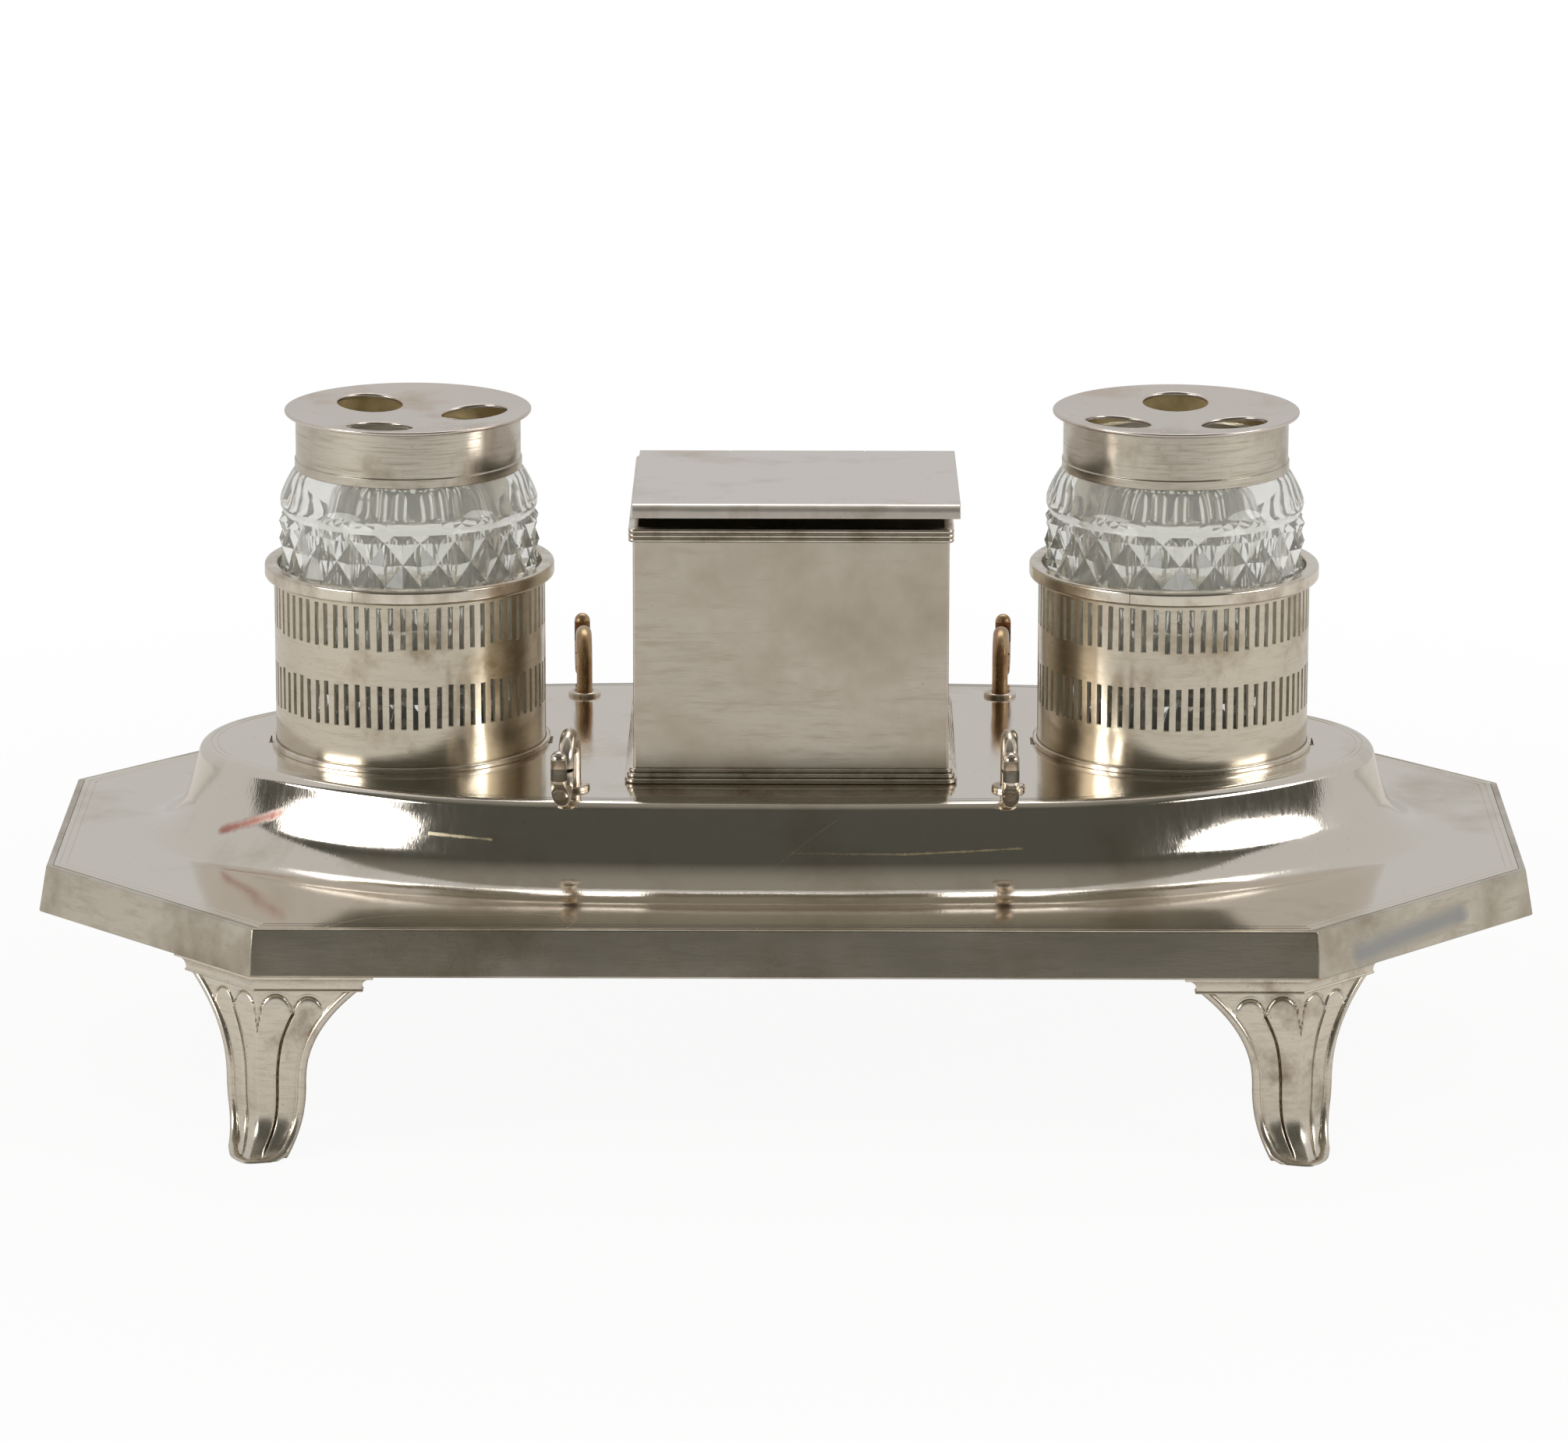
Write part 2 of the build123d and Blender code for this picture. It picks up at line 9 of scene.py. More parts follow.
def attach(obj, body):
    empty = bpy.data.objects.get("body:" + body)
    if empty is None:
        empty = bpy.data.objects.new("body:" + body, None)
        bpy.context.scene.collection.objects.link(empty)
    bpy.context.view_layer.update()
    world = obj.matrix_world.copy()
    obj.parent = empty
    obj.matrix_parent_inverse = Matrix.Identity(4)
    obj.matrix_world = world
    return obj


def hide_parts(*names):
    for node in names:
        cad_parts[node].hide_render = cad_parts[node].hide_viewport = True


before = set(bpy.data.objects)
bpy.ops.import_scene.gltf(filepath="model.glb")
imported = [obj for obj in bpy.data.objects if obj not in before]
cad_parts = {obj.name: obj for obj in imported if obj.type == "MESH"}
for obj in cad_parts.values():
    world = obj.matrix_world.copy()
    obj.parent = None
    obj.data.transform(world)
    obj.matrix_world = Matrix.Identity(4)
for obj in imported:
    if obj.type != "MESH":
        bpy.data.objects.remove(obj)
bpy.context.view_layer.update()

# ---- studio ------------------------------------------------------------------------------------------------
# A pale table under a white surround, a soft box each side of the camera and one high at the back. Bright
# metal only reads by what it mirrors, so a dark curtain goes half round the front, behind the camera.

MM = 0.001
photo_width = 2011
focal_length_px = 9836
film_width = 36.0
camera_place = (6.54, -1535.0, 457.4)
camera_pitch, camera_yaw, camera_roll = 14.181, -0.2645, 0.0753


def linear(colour):
    """sRGB hex to linear: each channel / 12.92 below 0.04045, else ((channel + 0.055) / 1.055) ** 2.4."""
    channels = np.array([int(colour[i : i + 2], 16) for i in (1, 3, 5)]) / 255
    low = channels / 12.92
    high = ((channels + 0.055) / 1.055) ** 2.4
    return tuple(np.where(channels <= 0.04045, low, high)) + (1.0,)


def add(tree, kind, links=None, **settings):
    """Adds a shader node. settings are its own properties; links gives each input a socket or a value."""
    made = tree.nodes.new("ShaderNode" + kind)
    for name, value in settings.items():
        setattr(made, name, value)
    for name, value in (links or {}).items():
        if isinstance(value, bpy.types.NodeSocket):
            tree.links.new(value, made.inputs[name])
        else:
            made.inputs[name].default_value = value
    return made.outputs


def material(name):
    """An empty node material with its output node."""
    made = bpy.data.materials.new(name)
    made.use_nodes = True
    made.node_tree.nodes.clear()
    out = made.node_tree.nodes.new("ShaderNodeOutputMaterial")
    return made, made.node_tree, out


def aimed(place, right, up, back):
    """Where a camera or lamp stands: its place, with its x, y and z axes as columns."""
    return Matrix.Translation(place) @ Matrix(np.stack([right, up, back], 1).tolist()).to_4x4()


def seen_straight(tree):
    """1 for a ray from the camera or through glass, else 0."""
    ray = add(tree, "LightPath")
    return add(tree, "Math", {0: ray["Is Camera Ray"], 1: ray["Is Transmission Ray"]}, operation="MAXIMUM")[0]


def web(points, wrap_u=False, wrap_v=False):
    """A grid of points (rows, columns, 3) as its points and the squares between neighbours."""
    rows, columns = points.shape[:2]
    number = np.arange(rows * columns).reshape(rows, columns)
    if wrap_u:
        number = np.vstack([number, number[:1]])
    if wrap_v:
        number = np.hstack([number, number[:, :1]])
    squares = np.stack([number[:-1, :-1], number[:-1, 1:], number[1:, 1:], number[1:, :-1]], -1)
    return points.reshape(-1, 3), squares.reshape(-1, 4)


pitch, yaw, roll = np.radians([camera_pitch, camera_yaw, camera_roll])
ahead = np.array([math.sin(yaw) * math.cos(pitch), math.cos(yaw) * math.cos(pitch), -math.sin(pitch)])
level_right = np.cross(ahead, [0, 0, 1])
level_right /= np.linalg.norm(level_right)
level_up = np.cross(level_right, ahead)
camera_right = level_right * math.cos(roll) + level_up * math.sin(roll)
camera_up = level_up * math.cos(roll) - level_right * math.sin(roll)
lens = bpy.data.cameras.new("photo_camera")
lens.sensor_width = film_width
lens.lens = focal_length_px / photo_width * film_width
lens.clip_end = 50
camera = bpy.data.objects.new("photo_camera", lens)
camera.matrix_world = aimed([v * MM for v in camera_place], camera_right, camera_up, -ahead)
scene = bpy.context.scene
scene.collection.objects.link(camera)
scene.camera = camera

# the surround is dimmer as a light and in the metal than it looks behind the piece
surround_light = 0.6
scene.view_settings.view_transform = "Standard"
world = bpy.data.worlds.new("white_surround")
scene.world = world
world.use_nodes = True
tree = world.node_tree
tree.nodes.clear()
level = add(tree, "MapRange", {"Value": seen_straight(tree), "To Min": surround_light})
backing = add(tree, "Background", {"Color": linear("#FFFFFF"), "Strength": level[0]})
out = tree.nodes.new("ShaderNodeOutputWorld")
tree.links.new(backing[0], out.inputs[0])

# the paper glows white to the eye, almost fully near the piece and fully farther out, so shadows stay faint
table_front, table_back, table_side = -1.25, 6.0, 6.0
glow_near, near_reach, far_reach = 0.93, 0.2, 0.45
table_mesh = bpy.data.meshes.new("table")
corners = [(-table_side, table_front, 0), (table_side, table_front, 0)]
corners += [(table_side, table_back, 0), (-table_side, table_back, 0)]
table_mesh.from_pydata(corners, [], [(0, 1, 2, 3)])
table = bpy.data.objects.new("table", table_mesh)
scene.collection.objects.link(table)
paper, tree, out = material("white_paper")
far = add(tree, "VectorMath", {0: add(tree, "TexCoord")["Object"]}, operation="LENGTH")
fade = add(tree, "MapRange", {
    "Value": far["Value"], "From Min": near_reach, "From Max": far_reach, "To Min": glow_near,
})
share = add(tree, "Math", {0: fade[0], 1: seen_straight(tree)}, operation="MULTIPLY")
matt = add(tree, "BsdfDiffuse", {"Color": linear("#E4E2DE")})
glow = add(tree, "Emission", {"Color": linear("#FFFFFF"), "Strength": 1.0})
mixed = add(tree, "MixShader", {0: share[0], 1: matt[0], 2: glow[0]})
tree.links.new(mixed[0], out.inputs[0])
table_mesh.materials.append(paper)

# the curtain is about half a ball round the front, open at the back, and paler towards its top
curtain_radius, curtain_tilt = 2.2, 4.0
curtain_low, curtain_high, paler_from = "#62625C", "#AEACA4", 0.62
side_reach, top_reach, corner_dip = 85.0, 95.0, 13.0
tilt = math.radians(curtain_tilt)
middle_way = np.array([0, -math.cos(tilt), math.sin(tilt)])
upright_way = np.array([0, math.sin(tilt), math.cos(tilt)])
rows, columns = 17, 48
round_way = np.arange(columns) / columns * 2 * math.pi
reach = side_reach + (top_reach - side_reach) * np.sin(round_way) ** 2
reach -= corner_dip * np.sin(2 * round_way) ** 2
polar = np.radians(np.linspace(0.01, 1, rows)[:, None] * reach)
rim_way = np.cos(round_way)[:, None] * [1, 0, 0] + np.sin(round_way)[:, None] * upright_way
points = curtain_radius * (np.cos(polar)[..., None] * middle_way + np.sin(polar)[..., None] * rim_way)
points, faces = web(points, wrap_v=True)
curtain_mesh = bpy.data.meshes.new("dark_curtain")
curtain_mesh.from_pydata(points.tolist(), [], faces.tolist())
curtain = bpy.data.objects.new("dark_curtain", curtain_mesh)
scene.collection.objects.link(curtain)
cloth, tree, out = material("black_cloth")
place = add(tree, "SeparateXYZ", {0: add(tree, "TexCoord")["Object"]})
paler = add(tree, "MapRange", {
    "Value": place[2], "From Min": paler_from * curtain_radius, "From Max": curtain_radius,
})
shade = add(tree, "Mix", {0: paler[0], 6: linear(curtain_low), 7: linear(curtain_high)}, data_type="RGBA")
matt = add(tree, "BsdfDiffuse", {"Color": shade[2]})
tree.links.new(matt[0], out.inputs[0])
curtain_mesh.materials.append(cloth)
curtain.visible_camera = False
curtain.visible_transmission = False
curtain.visible_diffuse = False
curtain.visible_shadow = False

# name, width, height, power, distance, compass turn from the camera's side, height angle, lean
lamps = (
    ("soft_box_left", 0.85, 0.52, 5.8, 1.5, -59.0, 17.8, 0.0),
    ("soft_box_right", 0.92, 0.42, 5.0, 1.5, 67.0, 23.0, 12.0),
    ("back_box", 1.6, 0.9, 6.0, 1.9, 180.0, 62.0, 0.0),
)
for name, width, height, power, distance, turn, rise, lean in lamps:
    light = bpy.data.lights.new(name, "AREA")
    light.shape = "ELLIPSE"
    light.size, light.size_y = width, height
    light.energy = power
    lamp = bpy.data.objects.new(name, light)
    turn, rise = math.radians(turn), math.radians(rise)
    way = np.array([math.sin(turn) * math.cos(rise), -math.cos(turn) * math.cos(rise), math.sin(rise)])
    side_way = np.cross(way, [0, 0, 1])
    side_way /= np.linalg.norm(side_way)
    up_way, lean = np.cross(side_way, way), math.radians(lean)
    leant = side_way * math.cos(lean) + up_way * math.sin(lean)
    lamp.matrix_world = aimed(way * distance, -leant, np.cross(way, -leant), way)
    scene.collection.objects.link(lamp)

# ---- tray: one sheet of plated copper, spun and hammered up into an oval platform --------------------------
# The border is flat to the rim, the wall sweeps up in a hollow curve, and fine double lines are cut inside
# the platform's edge and the rim. The plate is polished but old: fine wipe marks, patches of tarnish, bare
# copper.

rim_length, rim_depth = 300.0, 164.0
corner_reach, corner_rise = 45.2, 47.2
rim_z, platform_z = 47.6, 65.3
platform_rise = platform_z - rim_z
tray_sheet = 1.2
platform_half_length, platform_half_depth = 120.9, 51.4
end_radius, shoulder_radius, end_angle = 30.0, 98.3, 45.0
wall_run = platform_rise * math.tan(math.radians(17.9))
cove_radius, edge_radius = 11.1, 2.2
apron_wall, tray_fit = 1.4, 0.05
fittings_shift = 1.0
gallery_x = {"left": fittings_shift - 78.5, "right": fittings_shift + 78.5}
base_ring_radius, tongue_sheet, tongue_width, tongue_room = 28.7, 0.8, 5.0, 0.5
rest_wire = 1.65
rest_places = {
    "front_left": (-1, -1, 6.0),
    "front_right": (1, -1, 0.0),
    "rear_left": (-1, 1, 3.0),
    "rear_right": (1, 1, 3.0),
}
rest_reach, rest_rise = 43.9, 39.0


def bent(corners, radii, steps=8):
    """A polyline with each inner corner replaced by its tangent arc: the arc starts radius * tan(turn / 2)
    before the corner, and its centre lies radius to the side that the line turns to."""
    corners = np.asarray(corners, float)
    line = [corners[:1]]
    for before, corner, after, radius in zip(corners, corners[1:], corners[2:], radii):
        come, go = corner - before, after - corner
        come, go = come / np.hypot(*come), go / np.hypot(*go)
        cross = come[0] * go[1] - come[1] * go[0]
        turn = math.atan2(cross, come @ go)
        if abs(turn) < 1e-6 or radius == 0:
            line.append([corner])
            continue
        side = np.array([-come[1], come[0]]) * math.copysign(1, turn)
        start = corner - come * radius * math.tan(abs(turn) / 2)
        angles = np.linspace(0, turn, steps + 1)[:, None]
        spoke = -side * radius
        swing = np.hstack([-spoke[1:], spoke[:1]])
        line.append(start + side * radius + spoke * np.cos(angles) + swing * np.sin(angles))
    line.append(corners[-1:])
    return np.concatenate([np.asarray(part, float).reshape(-1, 2) for part in line])


def closed_bent(corners, radii, steps=6):
    """The same for a closed outline: it starts in the middle of the first side."""
    corners = np.asarray(corners, float)
    start = (corners[0] + corners[1]) / 2
    loop = np.vstack([start, corners[1:], corners[:1], start])
    return bent(loop, list(radii[1:]) + [radii[0]], steps)[:-1]


weld_distance, shortest_edge = 0.002 * MM, 1e-7


def piece(name, patches, finish, body, nodes, crease=28.0):
    """Joins patches of points and faces into one mesh, in millimetres, welded, facing outwards, smooth but
    for edges sharper than crease; it rides on body and stands for the named solids."""
    points, faces, count = [], [], 0
    for patch_points, patch_faces in patches:
        points.append(np.asarray(patch_points, float))
        faces += [[int(i) + count for i in face] for face in patch_faces]
        count += len(patch_points)
    mesh = bpy.data.meshes.new(name)
    mesh.from_pydata((np.concatenate(points) * MM).tolist(), [], faces)
    built = bmesh.new()
    built.from_mesh(mesh)
    bmesh.ops.remove_doubles(built, verts=built.verts, dist=weld_distance)
    bmesh.ops.dissolve_degenerate(built, edges=built.edges, dist=shortest_edge)
    bmesh.ops.recalc_face_normals(built, faces=built.faces)
    built.to_mesh(mesh)
    built.free()
    mesh.shade_smooth()
    mesh.set_sharp_from_angle(angle=math.radians(crease))
    mesh.materials.append(finish)
    made = bpy.data.objects.new(name, mesh)
    scene.collection.objects.link(made)
    flat_stays_flat = made.modifiers.new("flat_stays_flat", "WEIGHTED_NORMAL")
    flat_stays_flat.keep_sharp = True
    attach(made, body)
    if nodes:
        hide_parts(*nodes)
    return made


def octagon(grow):
    """Corners of the rim's outline grown by a distance, anticlockwise from the right end's back corner."""
    normal = np.array([corner_rise, corner_reach]) / math.hypot(corner_rise, corner_reach)
    x, y = rim_length / 2 + grow, rim_depth / 2 + grow
    reach = normal @ [rim_length / 2, rim_depth / 2 - corner_rise] + grow
    end_y = (reach - normal[0] * x) / normal[1]
    side_x = (reach - normal[1] * y) / normal[0]
    back = np.array([(x, end_y), (side_x, y), (-side_x, y), (-x, end_y)])
    return np.vstack([back, -back])


def oval_spokes():
    """The platform's outline as eight tangent arcs: each sample's centre, radius and direction."""
    turn = math.radians(end_angle)
    step = shoulder_radius - end_radius
    end = np.array([platform_half_length - end_radius, 0.0])
    shoulder = end - step * np.array([math.cos(turn), math.sin(turn)])
    rise = shoulder[1] - platform_half_depth + shoulder_radius
    flank_radius = shoulder_radius**2 - platform_half_depth**2 - shoulder @ shoulder
    flank_radius = (flank_radius + 2 * shoulder[1] * platform_half_depth) / (2 * rise)
    flank = np.array([0.0, platform_half_depth - flank_radius])
    meet = math.atan2(shoulder[1] - flank[1], shoulder[0])
    arcs = (
        (end, end_radius, 0, turn, 26),
        (shoulder, shoulder_radius, turn, meet, 36),
        (flank, flank_radius, meet, math.pi / 2, 44),
    )
    centres, radii, angles = [], [], []
    for centre, radius, first, last, steps in arcs:
        some = np.linspace(first, last, steps, endpoint=False)
        centres.append(np.tile(centre, (steps, 1)))
        radii.append(np.full(steps, radius))
        angles.append(some)
    centres, radii, angles = np.concatenate(centres), np.concatenate(radii), np.concatenate(angles)
    half_centres = np.vstack([centres, flank, centres[:0:-1] * [-1, 1]])
    half_radii = np.concatenate([radii, [flank_radius], radii[:0:-1]])
    half_angles = np.concatenate([angles, [math.pi / 2], math.pi - angles[:0:-1]])
    centres = np.vstack([half_centres, -half_centres])
    radii = np.concatenate([half_radii, half_radii])
    angles = np.concatenate([half_angles, half_angles + math.pi])
    return centres, radii, np.stack([np.cos(angles), np.sin(angles)], 1)


oval_centres, oval_radii, oval_ways = oval_spokes()


def oval(grow):
    """The platform's outline grown by a distance."""
    return oval_centres + oval_ways * (oval_radii + grow)[:, None]


def at_height(loop, z):
    """Flat points lifted to a height, one for all or one each."""
    return np.column_stack([loop, np.full(len(loop), z)])


def carried(profile, outline):
    """Carries a profile of (distance out, height) round an outline that grows by that distance."""
    return np.array([at_height(outline(grow), z) for grow, z in profile])


def flat(z, outer, holes, between=()):
    """A flat sheet at a height inside one outline and outside others, cut into triangles between them and any
    further points."""
    loops = [np.asarray(loop, float) for loop in [outer, *holes]]
    spots = np.concatenate(loops + [np.asarray(between, float).reshape(-1, 2)])
    edges, first = [], 0
    for loop in loops:
        order = np.arange(len(loop))
        edges += np.stack([order + first, np.roll(order, -1) + first], 1).tolist()
        first += len(loop)
    found = geometry.delaunay_2d_cdt([tuple(p) for p in spots], edges, [], 0, 1e-7)
    corners = np.array([tuple(p) for p in found[0]])
    faces = np.array([face for face in found[2] if len(face) == 3])
    middles = corners[faces].mean(1)
    keep = inside(middles, loops[0])
    for hole in loops[1:]:
        keep &= ~inside(middles, hole)
    return at_height(corners, z), faces[keep]


def inside(spots, loop):
    """True where a ray to the right crosses the loop an odd number of times."""
    x, y = spots[:, 0][:, None], spots[:, 1][:, None]
    a, b = loop, np.roll(loop, -1, 0)
    rise = np.where(b[:, 1] == a[:, 1], 1e-12, b[:, 1] - a[:, 1])
    across = (a[:, 1] > y) != (b[:, 1] > y)
    return (across & (x < a[:, 0] + (y - a[:, 1]) / rise * (b[:, 0] - a[:, 0]))).sum(1) % 2 == 1


def rod_wall(loop, low, high):
    """The upright wall of a hole between two heights."""
    return web(np.array([at_height(loop, z) for z in (low, high)]), wrap_v=True)


def circle(x, y, radius, steps):
    """Points round a circle."""
    turns = np.arange(steps) / steps * 2 * math.pi
    return np.column_stack([x + radius * np.cos(turns), y + radius * np.sin(turns)])


# sizes of the plate's patterns in millimetres; a real hairline is finer than 0.9, which is as fine as shows
speck_mm, wipe_mm, hair_mm, hair_depth = 1.4, 3.0, 0.9, 0.012
sheet_mm, sheet_swell, scratch_mm, scratch_colour = 34.0, 0.5, 110.0, "#E9D9B4"


def plate(
    name, colour, tarnish, patch_mm=22.0, patchiness=0.45, smooth=0.16, dull=0.34, wipe=0.35,
    grain=(1, 1, 1), streaks=0.0, corner_mm=1.2, corner_dirt=0.6, scratches=0.0, marks=(),
):
    """Worn silver plate, polished by hand. A bright warm grey metal; brown tarnish lies in soft patches
    and in corners that the cloth misses, wipe marks and hairline scratches roughen the shine, along the grain
    the colour is streaked, and the hammered sheet swells slightly. Long scratches lie where a broad noise
    crosses its mean. Each mark is a worn streak or deep scratch: its two ends, half width and colour."""
    made, tree, out = material(name)
    place = add(tree, "TexCoord")["Object"]
    noise = {"Vector": place, "Scale": 1000 / patch_mm, "Detail": 5.0, "Roughness": 0.62}
    cloud = add(tree, "TexNoise", noise)
    patch_from = 0.62 - 0.3 * patchiness
    patches = add(tree, "MapRange", {"Value": cloud[0], "From Min": patch_from, "From Max": 0.80})
    noise = {"Vector": place, "Scale": 1000 / speck_mm, "Detail": 3.0, "Roughness": 0.7}
    speck = add(tree, "TexNoise", noise)
    specks = add(tree, "MapRange", {"Value": speck[0], "From Min": 0.66, "From Max": 0.74, "To Max": 0.5})
    nook = tree.nodes.new("ShaderNodeAmbientOcclusion")
    nook.samples = 6
    nook.inputs["Distance"].default_value = corner_mm * MM
    nooks = add(tree, "MapRange", {
        "Value": nook.outputs["AO"], "From Min": 0.62, "From Max": 0.2, "To Max": corner_dirt,
    })
    long_way = add(tree, "Mapping", {"Vector": place, "Scale": grain})
    wiped = add(tree, "TexNoise", {
        "Vector": long_way[0], "Scale": 1000 / wipe_mm, "Detail": 4.0, "Roughness": 0.75,
    })
    drawn = add(tree, "MapRange", {"Value": wiped[0], "From Min": 0.48, "From Max": 0.72, "To Max": streaks})
    stain = patches
    for other in (specks, drawn, nooks):
        stain = add(tree, "Math", {0: stain[0], 1: other[0]}, operation="MAXIMUM")
    mixed = add(tree, "Mix", {0: stain[0], 6: linear(colour), 7: linear(tarnish)}, data_type="RGBA")
    rubbed = smooth + wipe * dull / 2
    shine = add(tree, "MapRange", {
        "Value": wiped[0], "From Min": 0.3, "From Max": 0.75, "To Min": smooth, "To Max": rubbed,
    })
    rough = add(tree, "Mix", {0: stain[0], 2: shine[0], 3: dull}, data_type="FLOAT")
    if scratches:
        broad = add(tree, "TexNoise", {
            "Vector": place, "Scale": 1000 / scratch_mm, "Detail": 1.0, "Roughness": 0.4,
        })
        from_mean = add(tree, "Math", {0: broad[0], 1: 0.5}, operation="SUBTRACT")
        from_mean = add(tree, "Math", {0: from_mean[0]}, operation="ABSOLUTE")
        line = add(tree, "MapRange", {
            "Value": from_mean[0], "From Min": 0.0009, "From Max": 0.0, "To Max": scratches,
        })
        broken = add(tree, "MapRange", {"Value": cloud[0], "From Min": 0.5, "From Max": 0.56})
        line = add(tree, "Math", {0: line[0], 1: broken[0]}, operation="MULTIPLY")
        mixed = add(tree, "Mix", {0: line[0], 6: mixed[2], 7: linear(scratch_colour)}, data_type="RGBA")
        rough = add(tree, "Mix", {0: line[0], 2: rough[0], 3: 0.5}, data_type="FLOAT")
    for start, end, half, mark_colour in marks:
        # distance to the mark's middle line, whose nearest point lies a share of the way along
        start, way = np.array(start) * MM, (np.array(end) - start) * MM
        off = add(tree, "VectorMath", {0: place, 1: tuple(start)}, operation="SUBTRACT")
        along = add(tree, "VectorMath", {0: off[0], 1: tuple(way / (way @ way))}, operation="DOT_PRODUCT")
        along = add(tree, "Clamp", {0: along["Value"]})
        foot = add(tree, "VectorMath", {0: tuple(way), "Scale": along[0]}, operation="SCALE")
        away = add(tree, "VectorMath", {0: off[0], 1: foot[0]}, operation="DISTANCE")
        ragged = add(tree, "Math", {0: wiped[0], 1: half * 1.3 * MM}, operation="MULTIPLY")
        away = add(tree, "Math", {0: away["Value"], 1: ragged[0]}, operation="ADD")
        line = add(tree, "MapRange", {
            "Value": away[0], "From Min": half * 1.7 * MM, "From Max": half * 0.9 * MM, "To Max": 0.9,
        })
        mixed = add(tree, "Mix", {0: line[0], 6: mixed[2], 7: linear(mark_colour)}, data_type="RGBA")
        rough = add(tree, "Mix", {0: line[0], 2: rough[0], 3: 0.45}, data_type="FLOAT")
    sheet = add(tree, "TexNoise", {"Vector": place, "Scale": 1000 / sheet_mm, "Detail": 1.0})
    wave = add(tree, "Bump", {"Height": sheet[0], "Distance": sheet_swell * MM, "Strength": 1.0})
    hair = add(tree, "TexNoise", {"Vector": long_way[0], "Scale": 1000 / hair_mm, "Detail": 2.0})
    hairs = add(tree, "Bump", {
        "Height": hair[0], "Distance": hair_depth * MM, "Strength": wipe, "Normal": wave[0],
    })
    look = {"Base Color": mixed[2], "Roughness": rough[0], "Metallic": 1.0, "Normal": hairs[0]}
    metal = add(tree, "BsdfPrincipled", look)
    tree.links.new(metal[0], out.inputs[0])
    return made


def mark_through(points, half, colour):
    """A worn line through points: one straight mark from each to the next."""
    return [(start, end, half, colour) for start, end in zip(points, points[1:])]


# points and half width in millimetres: a red wear streak at the left, two long scratches along the front
gold_scratch = "#F3E2B8"
short_scratch = ((-71.5, -47.6, 58.0), (-65.3, -49.3, 57.8), (-58.9, -50.5, 57.5))
long_scratch = (
    (0.4, -53.8, 55.7), (12.2, -53.8, 55.6), (24.0, -53.7, 55.5), (35.8, -53.1, 55.95), (47.3, -52.2, 56.4),
)
tray_marks = mark_through(((-115.0, -24.5, 52.4), (-102.5, -32.6, 58.3)), 1.3, "#B4776A")
tray_marks += mark_through(short_scratch, 0.4, gold_scratch)
tray_marks += mark_through(long_scratch, 0.34, gold_scratch)
tray_plate = plate(
    "worn_silver_plate_tray", "#E6DED2", "#BBAD97", patch_mm=40.0, patchiness=0.3, smooth=0.06, dull=0.2,
    scratches=0.5, grain=(2.2, 2.2, 0.3), wipe=0.9, marks=tray_marks,
)

platform_tail, edge_start, cove_tail, border_start = -4.0, -1.6, 1.0, -5.0
platform_cuts, rim_cuts = (-3.2, -2.0), (-3.9, -2.5)
# a cut line as (distance in from its outer edge, depth)
cut_line = ((0.3, 0.0), (0.23, 0.13), (0.07, 0.13), (0.0, 0.0))


def engraved(outer, z):
    """A narrow square-bottomed line cut into flat sheet, its outer edge at a distance from the outline."""
    return [(outer - inwards, z - depth) for inwards, depth in cut_line]


# the wall is hollowed a little under the edge, as a hammer leaves it
hollow_place, hollow_depth, hollow_radius = 0.36, 0.62, 50.0
hollow_point = (wall_run * hollow_place - hollow_depth, platform_z - platform_rise * hollow_place)
cove_end = wall_run + cove_radius + cove_tail
wall_corners = [(edge_start, platform_z), (0, platform_z), hollow_point, (wall_run, rim_z)]
wall_corners += [(wall_run + cove_radius, rim_z)]
wall_line = bent(wall_corners, [edge_radius, hollow_radius, cove_radius], 26)[1:-1]
slope = np.gradient(wall_line, axis=0)
slope /= np.hypot(slope[:, 0], slope[:, 1])[:, None]
under_line = wall_line + np.column_stack([slope[:, 1], -slope[:, 0]]) * tray_sheet
top_profile = [(platform_tail, platform_z)]
for outer in platform_cuts:
    top_profile += engraved(outer, platform_z)
top_profile += wall_line.tolist() + [(cove_end, rim_z)]
low_profile = [(platform_tail, platform_z - tray_sheet)] + under_line.tolist()
low_profile += [(cove_end, rim_z - tray_sheet)]

edge_in = -apron_wall - tray_fit
border_profile = [(border_start, rim_z)]
for outer in rim_cuts:
    border_profile += engraved(outer, rim_z)
border_profile += [(edge_in, rim_z), (edge_in, rim_z - tray_sheet)]

holes = []
tongue_half = np.array([tongue_sheet, tongue_width]) / 2 + tongue_room
tongue_corners = np.array([(-1, -1), (1, -1), (1, 1), (-1, 1)]) * tongue_half
for side in (-1, 1):
    for x in gallery_x.values():
        holes.append([x + side * (base_ring_radius - tongue_sheet / 2), 0] + tongue_corners)
for sx, sy, _ in rest_places.values():
    holes.append(circle(fittings_shift + sx * rest_reach, sy * rest_rise, rest_wire + tray_fit, 24))
patches = [
    web(carried(top_profile, oval), wrap_v=True),
    web(carried(low_profile, oval), wrap_v=True),
    web(carried(border_profile, octagon), wrap_v=True),
    flat(platform_z, oval(platform_tail), holes),
    flat(platform_z - tray_sheet, oval(platform_tail), holes),
    flat(rim_z, octagon(border_start), [oval(cove_end)]),
    flat(rim_z - tray_sheet, octagon(edge_in), [oval(cove_end)]),
]
patches += [rod_wall(hole, platform_z - tray_sheet, platform_z) for hole in holes]
piece("tray_sheet", patches, tray_plate, "stand", ["tray_top"])

# ---- apron: eight strips mitred and soldered round the sheet -----------------------------------------------
# Each strip leans out a little at the bottom. The plate is worn off the mitres, where the copper shows.

foot_height, apron_flare = 38.1, 1.6
ledge_width, flange_width, flange_sheet = 3.0, 7.5, 1.0
apron_height = rim_z - foot_height


